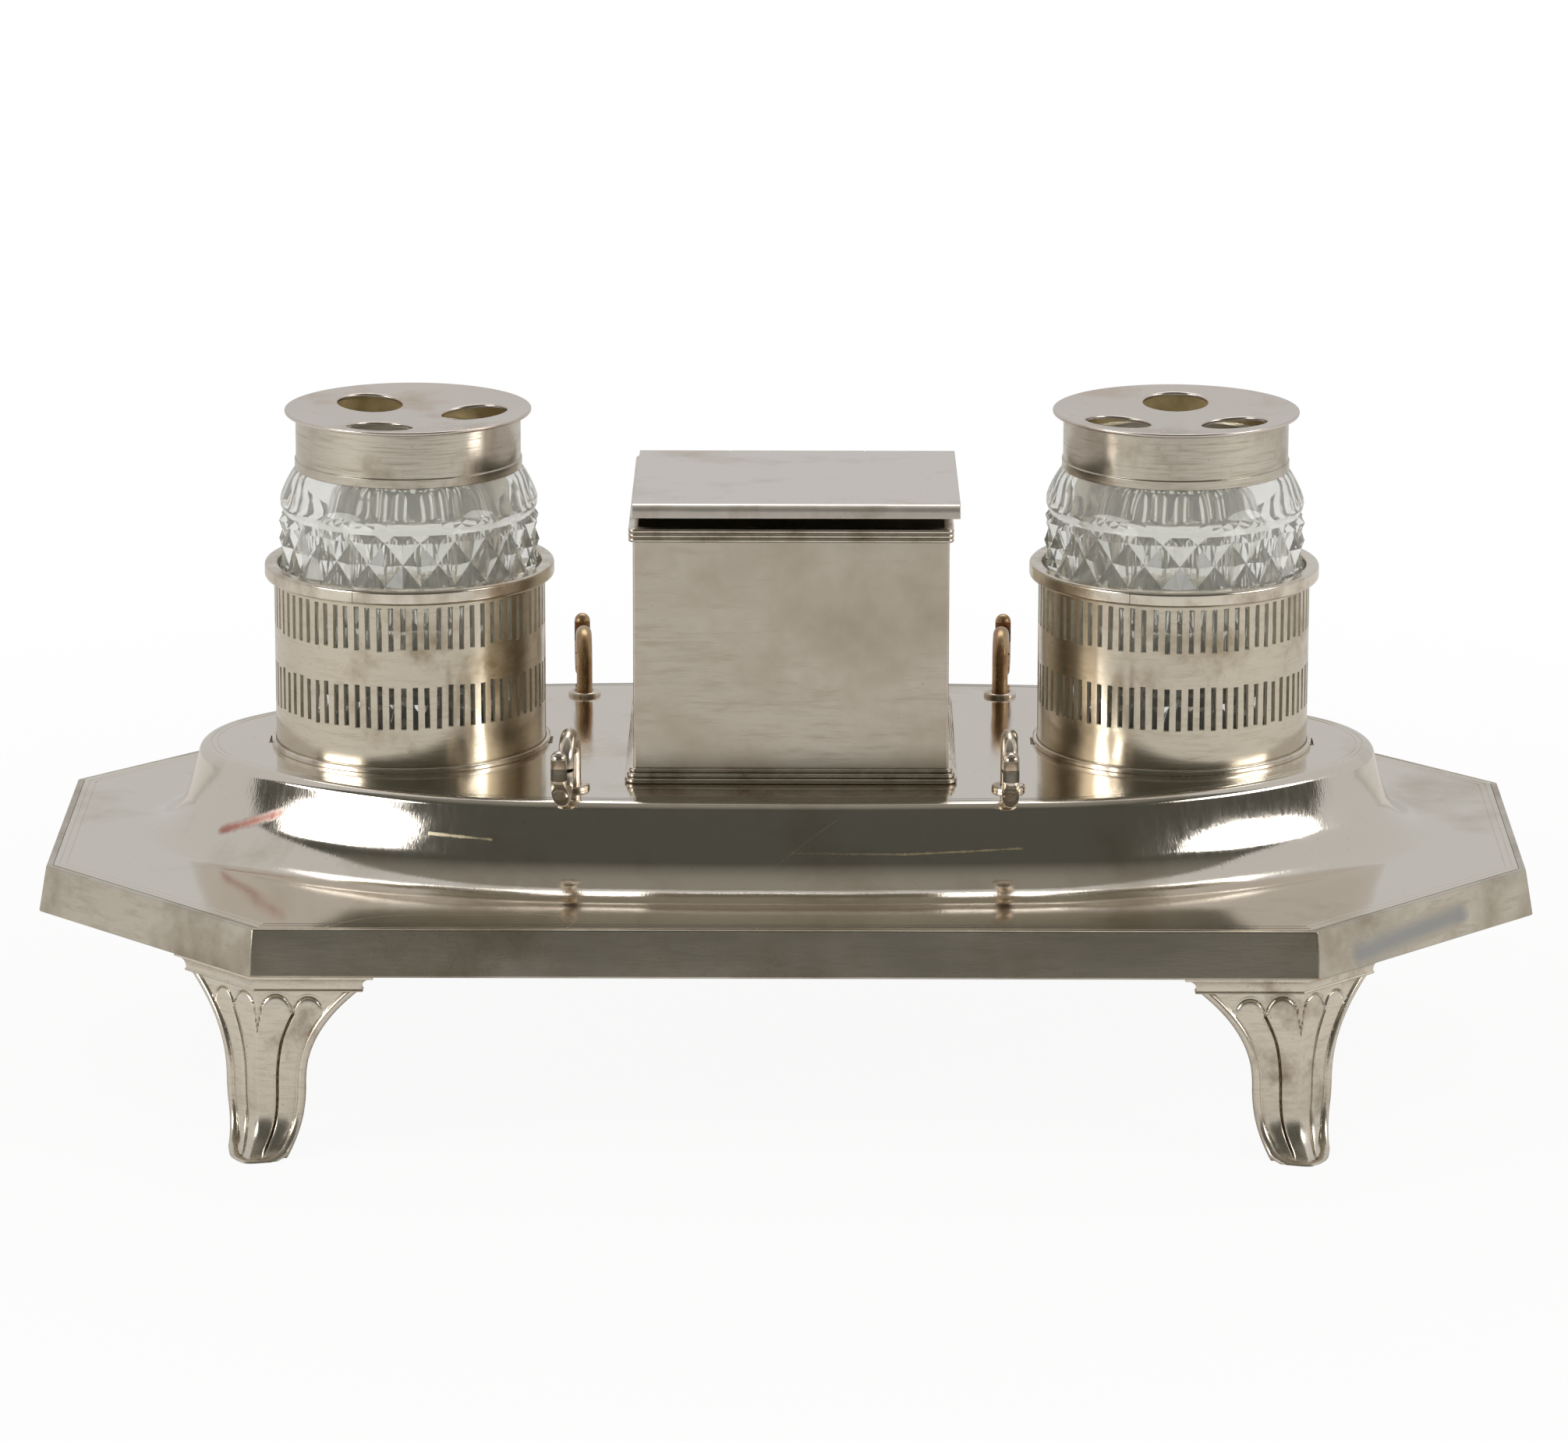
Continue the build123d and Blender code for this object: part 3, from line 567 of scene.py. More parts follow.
def apron_face(z, depth):
    """How far the apron's face, or a face at a depth behind it, stands out of the rim at a height."""
    return apron_flare * (rim_z - z) / apron_height - depth


def soft_octagon(grow):
    """The rim's outline with its eight corners rounded off."""
    return closed_bent(octagon(grow), [0.7] * 8, 6)


def refinish(made, finish, chosen):
    """Gives a second material to the faces whose middles, in millimetres, are chosen."""
    made.data.materials.append(finish)
    middles = np.array([face.center[:] for face in made.data.polygons]) / MM
    for face, picked in zip(made.data.polygons, chosen(middles)):
        face.material_index = int(picked)


# a grey worn patch on the right front strip
grey_patch = mark_through(((114.0, -74.2, 41.0), (135.5, -51.5, 43.0)), 3.0, "#A3A3A2")
apron_plate = plate(
    "worn_silver_plate_apron", "#D1C9BA", "#817158", patch_mm=24.0, patchiness=0.6, smooth=0.2,
    grain=(0.3, 0.3, 2), streaks=0.35, marks=grey_patch,
)
bare_copper = plate("bare_copper", "#F1B081", "#D09C70", patch_mm=3.0, patchiness=0.8, smooth=0.25)
ledge_z = rim_z - tray_sheet
flange_top = foot_height + flange_sheet
apron_outline = [
    (apron_face(foot_height, 0), foot_height),
    (apron_face(rim_z, 0), rim_z),
    (apron_face(rim_z, apron_wall), rim_z),
    (apron_face(ledge_z, apron_wall), ledge_z),
    (-apron_wall - ledge_width, ledge_z),
    (-apron_wall - ledge_width, ledge_z - flange_sheet),
    (apron_face(ledge_z - flange_sheet, apron_wall), ledge_z - flange_sheet),
    (apron_face(flange_top, apron_wall), flange_top),
    (apron_flare - flange_width, flange_top),
    (apron_flare - flange_width, foot_height),
]
apron_loop = closed_bent(apron_outline, [0.35, 0.35, 0.2, 0, 0, 0, 0, 0, 0, 0], 5)
apron = piece(
    "apron", [web(carried(apron_loop, soft_octagon), wrap_u=True, wrap_v=True)], apron_plate, "stand",
    ["apron_band"],
)
mitres = octagon(apron_flare)
copper_reach, copper_rise = 1.0, 0.5


def on_mitre(middles):
    """Near one of the eight corners and low down."""
    away = np.hypot(*(middles[:, None, :2] - mitres[None]).transpose(2, 0, 1)).min(1)
    return (away < copper_reach) & (middles[:, 2] < foot_height + copper_rise)


refinish(apron, bare_copper, on_mitre)

# ---- feet: cast, each two fluted wings folded round a corner, with a stepped cornice and a turned-out toe --
# Two round-topped flutes run down each wing, parted by a cut line, inside a rolled bead that goes round the
# toe.

foot_shift, foot_inset, foot_sheet = -1.1, 4.5, 2.0
foot_top_width, waist_width, waist_height, toe_width = 20.7, 9.7, 14.0, 7.0
foot_spread = 2.3
toe_radius, toe_turn, toe_reach = 9.0, math.radians(58.0), 3.4
cornice_height = 3.8
wing_top = foot_height - cornice_height
shin_length = wing_top - toe_radius * math.sin(toe_turn) - toe_reach * math.cos(toe_turn)
spine_length = shin_length + toe_radius * toe_turn + toe_reach
corner_lift, soft_fold = 1.4, 1.7
bead_width, bead_rise = 1.6, 0.6
petal_rise, cut_depth, cut_width = 0.14, 0.4, 0.17
corner_normal = np.array([corner_rise, corner_reach]) / math.hypot(corner_rise, corner_reach)
fold_half = (math.pi - math.acos(corner_normal[1])) / 2
fold_sine, fold_cosine = math.sin(fold_half), math.cos(fold_half)
foot_plate = plate(
    "worn_silver_plate_feet", "#E6DDCE", "#7E6950", patch_mm=14.0, patchiness=0.15, smooth=0.24,
    corner_mm=0.9, corner_dirt=0.8, grain=(0.5, 0.5, 3), streaks=0.25,
)


def foot_spine(along):
    """Down the fold: straight to the bend, round it by the toe's turn, then straight to the floor. Gives the
    distance out, the height and the direction the outside faces, at a distance from the cornice."""
    turn = np.clip((along - shin_length) / toe_radius, 0, toe_turn)
    past = np.clip(along - shin_length - toe_radius * toe_turn, 0, None)
    out = toe_radius * (1 - np.cos(turn)) + past * math.sin(toe_turn)
    height = wing_top - np.minimum(along, shin_length) - toe_radius * np.sin(turn) - past * math.cos(toe_turn)
    return out, height, turn


def wing_width(height):
    """Toe to waist as a quarter sine wave, waist to cornice as a power curve."""
    low = toe_width + (waist_width - toe_width) * np.sin(np.pi / 2 * np.clip(height / waist_height, 0, 1))
    share = np.clip((height - waist_height) / (wing_top - waist_height), 0, 1)
    high = waist_width + (foot_top_width - waist_width) * share**foot_spread
    return np.where(height < waist_height, low, high)


def petal_lines(width, along):
    """The flutes' sides: the gap at the fold closes like a V, the cut line lies a little over half-way."""
    field = width - bead_width - 0.25
    split = field * (0.52 + 0.07 * np.clip(1 - along / 10, 0, 1))
    return 2.1 * (1 - along / 8.2), split, field


def petal(inner, outer, along, top):
    """Outline of a flute down its two sides from a round top: half a circle as wide as the flute there."""
    start = np.interp(top, along, np.arange(len(along)))
    half = (np.interp(start, np.arange(len(along)), outer - inner)) / 2
    t = np.linspace(0, math.pi, 40)
    below = along > top + half
    middle = np.interp(top + half, along, (inner + outer) / 2)
    wide = np.interp(top + half, along, (outer - inner) / 2)
    arch = np.column_stack([middle - wide * np.cos(t), top + half - half * np.sin(t)])
    left, right = np.column_stack([inner, along])[below], np.column_stack([outer, along])[below]
    return np.vstack([arch, right, right[-1:] + [0, 4], left[-1:] + [0, 4], left[::-1]])


def distance(spots, line, closed=False):
    """How far each spot is from the nearest of the line's samples, taken every 0.06 mm."""
    line = np.vstack([line, line[:1]]) if closed else line
    gone = np.concatenate([[0], np.cumsum(np.hypot(*np.diff(line, axis=0).T))])
    even = np.linspace(0, gone[-1], int(gone[-1] / 0.06) + 2)
    fine = np.column_stack([np.interp(even, gone, line[:, k]) for k in (0, 1)])
    return np.concatenate([
        np.sqrt(((some[:, None] - fine[None]) ** 2).sum(-1).min(1)) for some in np.array_split(spots, 40)
    ])


def foot_relief(across, along, edge, end):
    """Depth of the modelling below the bead's crest. The bead is half round and follows the free edge and the
    toe; inside it each flute stands up a little like a cushion within a fine cut line."""
    spots = np.column_stack([across.ravel(), along.ravel()])
    from_edge = distance(spots, np.vstack([edge, end[::-1]]))
    half = bead_width / 2
    bead = np.sqrt(np.clip(1 - ((from_edge - half) / half) ** 2, 0, 1)) * bead_rise
    from_end = distance(spots, end)
    depth = bead_rise + 0.3 * np.exp(-(((from_end - bead_width - 0.5) / 1.1) ** 2))
    gap, split, field = petal_lines(edge[:, 0], edge[:, 1])
    fade = np.clip((from_edge - bead_width - 0.2) / 1.5, 0, 1)
    for inner, outer, top in ((gap, split - 0.06, 1.2), (split + 0.06, field, 1.7)):
        outline = petal(inner, outer, edge[:, 1], top)
        away = distance(spots, outline, True)
        within = inside(spots, outline)
        lip = np.exp(-(((away - 0.5) / 0.22) ** 2)) * ~within * (spots[:, 1] < top + 3.4)
        depth -= petal_rise * np.where(within, 1 - np.exp(-((away / 0.6) ** 2)), 0) + 0.05 * lip
        cut = cut_depth * np.exp(-((away / cut_width) ** 2))
        depth += cut * np.maximum(fade, 0.25) * (from_edge > bead_width * 0.8)
    return np.where(from_edge < bead_width, bead_rise - bead, depth).reshape(across.shape)


def foot_grid():
    """One wing's outer and inner faces: place along the foot, then distances out of the fold's side and in
    front of it."""
    share = np.concatenate([np.linspace(0, 0.2, 60, endpoint=False), np.linspace(0.2, 1, 115)])[:, None]
    longest = toe_width * fold_cosine * math.tan(toe_turn) + corner_lift
    edge_along = share * (spine_length - longest)
    _, height, turn = foot_spine(edge_along)
    width = wing_width(height)
    for _ in range(12):
        edge_height = np.maximum(height - width * fold_cosine * np.sin(turn), 0)
        width = 0.5 * width + 0.5 * wing_width(edge_height)
    _, split, field = petal_lines(width, edge_along)
    marks = [0 * width, split - 0.5, split, split + 0.5, field - 0.3, field + 0.3, width]
    counts = (26, 7, 7, 24, 7, 16)
    across = [low + (high - low) * np.arange(n) / n for low, high, n in zip(marks, marks[1:], counts)]
    across = np.hstack([*across, width])
    part = across / width
    fold = soft_fold * np.clip((share - 0.45) / 0.5, 0, 1) ** 2 + 0.12
    bow = fold_cosine * np.sqrt(across**2 + fold**2)
    last = np.sqrt((part[-1] * toe_width) ** 2 + fold[-1] ** 2) * fold_cosine * math.tan(toe_turn)
    along = share * (spine_length - last - corner_lift * part[-1] ** 4)
    edge, end = np.column_stack([width[:, 0], along[:, -1]]), np.column_stack([across[-1], along[-1]])
    depth = foot_relief(across, along, edge, end)
    tilt = across / np.sqrt(across**2 + 1)
    inner_u = part * (width * fold_sine - foot_sheet * fold_cosine)
    inner_q = -(np.sqrt(inner_u**2 + fold**2) * fold_cosine + foot_sheet) / fold_sine
    return along, across * fold_sine - depth * fold_cosine * tilt, -bow - depth * fold_sine, inner_u, inner_q


along, outer_u, outer_q, inner_u, inner_q = foot_grid()
spine_out, spine_height, spine_turn = foot_spine(along)


def foot_patches(corner, outward):
    """One foot: outer and inner faces of both wings with the rim between them."""
    across_way = np.array([outward[1], -outward[0]])

    def both(u, q):
        z = spine_height + q * np.sin(spine_turn)
        spread = spine_out + q * np.cos(spine_turn) + np.minimum(z, 0) * np.tan(spine_turn)
        wings = []
        for side in (-1, 1):
            flat_place = corner + u[..., None] * side * across_way + spread[..., None] * outward
            wings.append(np.concatenate([flat_place, np.maximum(z, 0.0)[..., None]], -1))
        return np.concatenate([wings[0][:, :0:-1], wings[1]], 1)

    outer, inner = both(outer_u, outer_q), both(inner_u, inner_q)
    patches = [web(outer), web(inner)]
    for edge in (0, -1):
        patches.append(web(np.stack([outer[:, edge], inner[:, edge]])))
        patches.append(web(np.stack([outer[edge], inner[edge]])))
    return patches


def folded(reach, width, depth_in):
    """Plan of a folded strip: outside end, fold, other end, then back along the inside."""
    end_u, end_q = width * fold_sine, width * fold_cosine
    side = np.array([(end_u + reach * fold_cosine, reach * fold_sine - end_q)])
    behind = np.array([(end_u - depth_in * fold_cosine, -depth_in * fold_sine - end_q)])
    fold, back_fold = np.array([(0, reach / fold_sine)]), np.array([(0, -depth_in / fold_sine)])
    return np.vstack([side * [-1, 1], fold, side, behind, back_fold, behind * [-1, 1]])


# reach beyond the wing and height of the cornice, from the wing up: a thin bead, a hollow, a flat fillet
hollow_turns = np.linspace(0, math.pi / 2, 9)
cornice = [(0.0, wing_top - 0.35), (0.38, wing_top - 0.25), (0.5, wing_top), (0.38, wing_top + 0.25)]
cornice += [(0.3 + 0.95 * (1 - math.cos(t)), wing_top + 0.35 + 2.15 * math.sin(t)) for t in hollow_turns]
cornice += [(1.5, wing_top + 2.55), (1.5, foot_height)]
# a cornice's width at the reaches between which it widens evenly
cornice_reaches, cornice_widths = (0, 0.5, 1.5), (foot_top_width, 21.4, 23.4)
fold_way = corner_normal + [0, 1]
fold_way = fold_way / np.hypot(*fold_way)
foot_corner = octagon(apron_flare - foot_inset)[1]
for end, sy in (("front", -1), ("rear", 1)):
    for side, sx in (("left", -1), ("right", 1)):
        sign = np.array([sx, sy])
        outward, corner = fold_way * sign, foot_corner * sign + [foot_shift, 0]
        across_way = np.array([outward[1], -outward[0]])
        patches = foot_patches(corner, outward)
        rings = []
        for reach, z in cornice:
            plan = folded(reach, np.interp(reach, cornice_reaches, cornice_widths), foot_sheet)
            rings.append(at_height(corner + plan[:, :1] * across_way + plan[:, 1:] * outward, z))
        end_faces = [(0, 1, 4, 5), (1, 2, 3, 4)]
        block = [web(np.array(rings), wrap_v=True), (rings[0], end_faces), (rings[-1], end_faces)]
        name = f"foot_{end}_{side}"
        piece(f"fluted_{name}", patches, foot_plate, "stand", [name], crease=40)
        piece(f"cornice_{end}_{side}", block, foot_plate, "stand", [], crease=30)

# ---- galleries: a sleeve sawn through with upright slots, a band round its top, a wire ring at its foot ----
# Slots were cut by hand, so their ends are a little uneven. Tarnish gathers under the band and in the
# slots; the inside is matt, and its pale colour is painted light for the light that comes in through the
# slots and the glass.

gallery_radius, gallery_sheet, gallery_height = 27.8, 0.8, 35.2
slot_count, slot_width = 72, 1.1
slot_rows, plain_levels = ((9.1, 17.9), (25.4, 34.3)), (4.5, 21.5)
slot_spread, slot_lean = 0.28, 0.004
band_radius, band_height, band_round = 29.7, 3.1, 0.7
seam_turn, seam_width = math.radians(-110.0), 0.12
base_ring_height, tongue_hook = 1.2, 3.5
sleeve_plate = plate(
    "worn_silver_plate_sleeve", "#D9D0BF", "#917A55", patch_mm=14.0, patchiness=0.35, smooth=0.15,
    corner_mm=2.4, corner_dirt=0.8, grain=(0.4, 0.4, 3), streaks=0.25,
)
# the inside's pale colour is painted light for the light that comes in through the slots and the glass; its
# roughness makes it matt
matt_inside_painted_light = plate(
    "matt_silver_inside_painted_light", "#F3EDE0", "#CBBF9F", patch_mm=9.0, patchiness=0.4, smooth=0.6, dull=0.7,
)
band_plate = plate("worn_silver_plate_band", "#E8E0D2", "#9D876F", patch_mm=10.0, patchiness=0.5, smooth=0.15)


def even_turns(steps):
    """Directions evenly round a circle."""
    return np.arange(steps) / steps * 2 * math.pi


def round_axis(radius, turns, height, x, y=0.0):
    """Points round an upright axis, each at a radius, a turn and a height above the platform."""
    across, deep = x + radius * np.cos(turns), y + radius * np.sin(turns)
    return np.stack(np.broadcast_arrays(across, deep, platform_z + height), -1)


def turned(profile, turns, x, y=0.0):
    """An outline of (radius, height) carried round an upright axis by given turns."""
    profile = np.asarray(profile, float)
    return round_axis(profile[:, :1], turns, profile[:, 1:], x, y)


def within(x, radius):
    """Picks faces nearer than a radius to an upright axis."""
    return lambda middles: np.hypot(middles[:, 0] - x, middles[:, 1]) < radius


def pierced(x, jitter):
    """A tube of two walls in columns and levels; the cells of the slots are left out and walled round."""
    pitch = 2 * math.pi / slot_count
    half_slot = slot_width / gallery_radius / 2
    between = np.linspace(half_slot, pitch - half_slot, 4)[1:-1]
    local = np.concatenate([np.linspace(-half_slot, half_slot, 3), between])
    columns = len(local)
    turns = (np.arange(slot_count)[:, None] * pitch + local).ravel()
    levels = np.array([0.0, plain_levels[0], *slot_rows[0], plain_levels[1], *slot_rows[1], gallery_height])
    heights = np.repeat(levels[:, None], len(turns), 1)
    slot_column = np.tile(np.arange(columns) < 3, slot_count)
    # the upper row's top ends lie close under the band, so they vary less
    for level in (2, 3, 5, 6):
        per_slot = np.repeat(jitter.uniform(-slot_spread, slot_spread, slot_count), columns)
        room = 0.3 if level == 6 else 1.0
        heights[level] += np.where(slot_column, per_slot * room, 0)
    lean = np.repeat(jitter.uniform(-slot_lean, slot_lean, slot_count), columns)
    spin = np.repeat(turns[None, :], len(levels), 0)
    spin[[3, 6]] += np.where(slot_column, lean, 0)
    walls = (gallery_radius, gallery_radius - gallery_sheet)
    shells = [round_axis(radius, spin, heights, x) for radius in walls]
    number = np.arange(spin.size).reshape(spin.shape)
    wide = np.hstack([number, number[:, :1]])
    open_cell = np.zeros((len(levels) - 1, len(turns)), bool)
    for row in (2, 5):
        open_cell[row] = np.tile(np.arange(columns) < 2, slot_count)
    cells = np.stack([wide[:-1, :-1], wide[:-1, 1:], wide[1:, 1:], wide[1:, :-1]], -1)
    kept = cells[~open_cell]
    gone = cells[open_cell]
    edges = [(gone[:, a], gone[:, b]) for a, b in ((0, 1), (1, 2), (2, 3), (3, 0))]
    edges += [(wide[level, :-1], wide[level, 1:]) for level in (0, -1)]
    faces = [kept, kept[:, ::-1] + spin.size]
    faces += [np.stack([start, end, end + spin.size, start + spin.size], 1) for start, end in edges]
    faces = np.concatenate(faces)
    # the side walls between the two cells inside one slot cancel out
    key = np.sort(faces, 1)
    _, index, amount = np.unique(key, axis=0, return_index=True, return_counts=True)
    return np.concatenate([shell.reshape(-1, 3) for shell in shells]), faces[np.sort(index[amount == 1])]


jitter = np.random.default_rng(7)
for side, x in gallery_x.items():
    sleeve = piece(
        f"pierced_sleeve_{side}", [pierced(x, jitter)], sleeve_plate, "stand",
        [f"gallery_sleeve_{side}"], crease=50,
    )
    refinish(sleeve, matt_inside_painted_light, within(x, gallery_radius - gallery_sheet * 0.3))
    bore = gallery_radius - gallery_sheet
    outline = [
        (band_radius, gallery_height), (band_radius, gallery_height + band_height),
        (bore, gallery_height + band_height), (bore, gallery_height),
    ]
    loop = closed_bent(outline, [band_round, band_round, 0.5, 0.15], 6)
    gap = seam_width / band_radius
    points = turned(loop, seam_turn + np.linspace(gap / 2, 2 * math.pi - gap / 2, 241), x)
    ends = [(points[:, i], [list(range(len(loop)))]) for i in (0, -1)]
    piece(
        f"rim_band_{side}", [web(points, wrap_u=True), *ends], band_plate, "stand",
        [f"gallery_rim_{side}"], crease=40,
    )
    ring = closed_bent(
        [
            (base_ring_radius, 0), (base_ring_radius, base_ring_height),
            (gallery_radius + tray_fit, base_ring_height), (gallery_radius + tray_fit, 0),
        ],
        [0.1, 0.3, 0.1, 0.1],
        4,
    )
    patches = [web(turned(ring, even_turns(192), x), wrap_u=True, wrap_v=True)]
    # each tongue goes down through the sheet and is bent over inwards under it
    edge, hook_low = base_ring_radius - 0.02, -tray_sheet - tongue_sheet
    strip = np.array([
        (edge, 0.1), (edge, hook_low), (edge - tongue_hook, hook_low), (edge - tongue_hook, -tray_sheet),
        (edge - tongue_sheet, -tray_sheet), (edge - tongue_sheet, 0.1),
    ])
    for way in (-1, 1):
        sides = [
            np.column_stack([x + way * strip[:, 0], np.full(6, half), platform_z + strip[:, 1]])
            for half in (-tongue_width / 2, tongue_width / 2)
        ]
        patches.append(web(np.array(sides), wrap_v=True))
        patches += [(flat_side, [list(range(6))]) for flat_side in sides]
    piece(
        f"foot_ring_{side}", patches, band_plate, "stand", [f"gallery_base_ring_{side}"],
        crease=40,
    )

# ---- wells: heavy pressed glass, wheel-cut with a band of diamonds, then a groove, a swelling and a neck ---
# The diamonds are flat pyramids between crossing cuts and go on down inside the gallery. The ink space is
# round.

well_radius, base_round = 26.7, 2.0
diamond_count, diamond_rows, diamond_top, diamond_step = 22, 9, 47.15, 4.5
cut_radius = 25.15
groove_height, groove_radius = 48.8, 25.6
swell_height, swell_radius = 51.4, 26.4
shoulder_height, shoulder_radius_glass = 58.0, 23.0
neck_radius, neck_top = 22.0, 63.6
well_bore, well_floor, floor_round = 18.5, 13.0, 6.0
facet_count, facet_depth, facet_start = 14, 0.12, 0.11
glass_steps = 176

haze_share = 0.19
clear_glass, tree, out = material("clear_cut_glass")
place = add(tree, "TexCoord")["Object"]
seed = add(tree, "TexNoise", {"Vector": place, "Scale": 1000 / 9.0, "Detail": 2.0})
ripple = add(tree, "Bump", {"Height": seed[0], "Distance": 0.05 * MM, "Strength": 0.35})
smear = add(tree, "TexNoise", {"Vector": place, "Scale": 1000 / 5.0, "Detail": 5.0})
film = add(tree, "MapRange", {
    "Value": smear[0], "From Min": 0.5, "From Max": 0.8, "To Min": 0.015, "To Max": 0.08,
})
# clear pressed glass, greasy in places; its worn cuts scatter a little light, drawn as a faint haze
clear = add(tree, "BsdfPrincipled", {
    "Base Color": linear("#FAFAF6"), "Roughness": film[0], "IOR": 1.5, "Transmission Weight": 1.0,
    "Normal": ripple[0],
})
haze_back = add(tree, "BsdfTranslucent", {"Color": linear("#F4F3EC")})
haze_front = add(tree, "BsdfDiffuse", {"Color": linear("#EFEEE6")})
haze = add(tree, "MixShader", {0: 0.2, 1: haze_front[0], 2: haze_back[0]})
body_of_glass = add(tree, "MixShader", {0: haze_share, 1: clear[0], 2: haze[0]})
tree.links.new(body_of_glass[0], out.inputs[0])


def smooth_line(points, starts, steps):
    """Cubic curves through points with given slopes: between two, each point's weight and each slope's weight
    is a cubic in the share of the way, so that the curve meets both points along both slopes."""
    line = []
    for p, q, m, n in zip(points, points[1:], starts, starts[1:]):
        t = np.linspace(0, 1, steps, endpoint=False)[:, None]
        p, q, m, n = (np.asarray(v, float) for v in (p, q, m, n))
        at_p, at_q = 2 * t**3 - 3 * t**2 + 1, 3 * t**2 - 2 * t**3
        leave, arrive = t**3 - 2 * t**2 + t, t**3 - t**2
        line.append(at_p * p + leave * m + at_q * q + arrive * n)
    return np.concatenate(line + [np.asarray(points[-1:], float)])


def glass_rings(line, x, facets):
    """Rings of a turned line; the swelling has faint upright facets, whose depth follows half a sine wave up
    its height and is greatest in the middle of each."""
    turns = even_turns(glass_steps)
    line = np.asarray(line, float)
    radius, height = line[:, 0][:, None], line[:, 1][:, None]
    if facets:
        pitch = 2 * math.pi / facet_count
        flatness = 1 - np.cos((turns + facet_start) % pitch - pitch / 2)
        share = np.sin(np.pi * np.clip((height - groove_height) / (shoulder_height - groove_height), 0, 1))
        radius = radius - facet_depth * share * (1 - flatness / flatness.max())
    return round_axis(radius, turns, height, x)


def diamonds(x):
    """Rows of cut crossings and pyramid tips: each tip joins the four crossings round it by flat
    triangles."""
    columns = 2 * diamond_count
    rows = np.arange(diamond_rows)[:, None]
    tip = (np.arange(columns) + rows) % 2 == 1
    radius = np.where(tip, well_radius, cut_radius)
    points = round_axis(radius, even_turns(columns), diamond_top - diamond_step * rows, x)
    number = np.arange(points.shape[0] * columns).reshape(points.shape[:2])
    wide = np.hstack([number, number[:, :1]])
    a, b, c, d = wide[:-1, :-1], wide[:-1, 1:], wide[1:, 1:], wide[1:, :-1]
    tip_a = tip[:-1]
    # each cell is split along the diagonal between its two crossings
    first = np.where(tip_a[..., None], np.stack([a, b, d], -1), np.stack([a, b, c], -1))
    second = np.where(tip_a[..., None], np.stack([b, c, d], -1), np.stack([a, c, d], -1))
    return points, np.concatenate([first.reshape(-1, 3), second.reshape(-1, 3)])


def stitch(coarse, fine):
    """Joins a ring of few points to one of many by fans: half of each span hangs on either coarse point."""
    span = len(fine) // len(coarse)
    points, faces = np.vstack([coarse, fine]), []
    for i in range(len(coarse)):
        follow = (i + 1) % len(coarse)
        steps = [len(coarse) + (i * span + j) % len(fine) for j in range(span + 1)]
        half = span // 2
        faces += [(i, steps[j + 1], steps[j]) for j in range(half)]
        faces += [(i, follow, steps[half])]
        faces += [(follow, steps[j + 1], steps[j]) for j in range(half, span)]
    return points, faces


bulge = smooth_line(
    [(groove_radius, groove_height), (swell_radius, swell_height), (shoulder_radius_glass, shoulder_height)],
    [(1.2, 2.2), (-0.1, 3.6), (-4.2, 4.2)],
    16,
)
# the neck's edges are bevelled; the floors stop short of the axis, where a small flat face closes them
neck_bevel, floor_hole = 0.4, 0.3
bevel_start = neck_top - neck_bevel
neck = [
    (neck_radius, shoulder_height), (neck_radius, bevel_start), (neck_radius - neck_bevel, neck_top),
    (well_bore + neck_bevel, neck_top), (well_bore, bevel_start),
]
cavity = bent(
    [(well_bore, bevel_start), (well_bore, well_floor), (floor_hole, well_floor)], [floor_round], 10,
)
above = np.vstack([bulge, neck, cavity[1:]])
below = bent(
    [(well_radius - 0.35, 9.0), (well_radius, 8.0), (well_radius, 0), (floor_hole, 0)], [1.0, base_round], 8,
)
for side, x in gallery_x.items():
    cut, cut_faces = diamonds(x)
    top_rings, low_rings = glass_rings(above, x, True), glass_rings(below, x, False)
    patches = [
        (cut.reshape(-1, 3), cut_faces),
        web(top_rings, wrap_v=True),
        web(low_rings, wrap_v=True),
        stitch(cut[0], top_rings[0]),
        stitch(cut[-1], low_rings[0]),
        (top_rings[-1], [list(range(glass_steps))]),
        (low_rings[-1], [list(range(glass_steps))]),
    ]
    piece(
        f"cut_glass_well_{side}", patches, clear_glass, f"bottle_{side}", [f"bottle_{side}"],
        crease=11,
    )

# ---- caps: a spun dished disc pierced for three pens, soldered on a drawn collar with a strip at its foot --
# Horizontal polishing lines run round the collar; the inside was never polished and has gone yellow.

collar_radius, collar_sheet, strip_height, strip_step = 23.25, 0.9, 1.9, 0.25
disc_radius, disc_sheet, disc_dish, disc_top = 25.2, 0.8, 2.1, 70.1
hole_radius, hole_ring = 6.7, 13.65
hole_turns = {"left": 8.0, "right": 88.0}
dish_radius = (disc_radius**2 + disc_dish**2) / (2 * disc_dish)
cap_collar_plate = plate(
    "polished_silver_plate_collar", "#CEC7BA", "#95836A", patch_mm=16.0, patchiness=0.3,
    grain=(0.25, 0.25, 6), streaks=0.55,
)
unpolished = plate(
    "yellowed_silver_plate_inside", "#D4BE8E", "#A08A5D", patch_mm=8.0, patchiness=0.6, smooth=0.35, dull=0.5,
)
cap_disc_plate = plate(
    "worn_silver_plate_disc", "#DED4CB", "#B7A186", wipe=0.14, patch_mm=20.0, patchiness=0.3, smooth=0.24,
)


def dish(radius):
    """Height of the disc's underside above the platform, a part of a sphere."""
    middle = disc_top - disc_dish - disc_sheet
    return middle + dish_radius - np.sqrt(dish_radius**2 - np.asarray(radius, float) ** 2)


def dished(spots, x, lift):
    """Flat points of a disc raised to its underside, or a lift above it."""
    return at_height(spots, platform_z + dish(np.hypot(spots[:, 0] - x, spots[:, 1])) + lift)


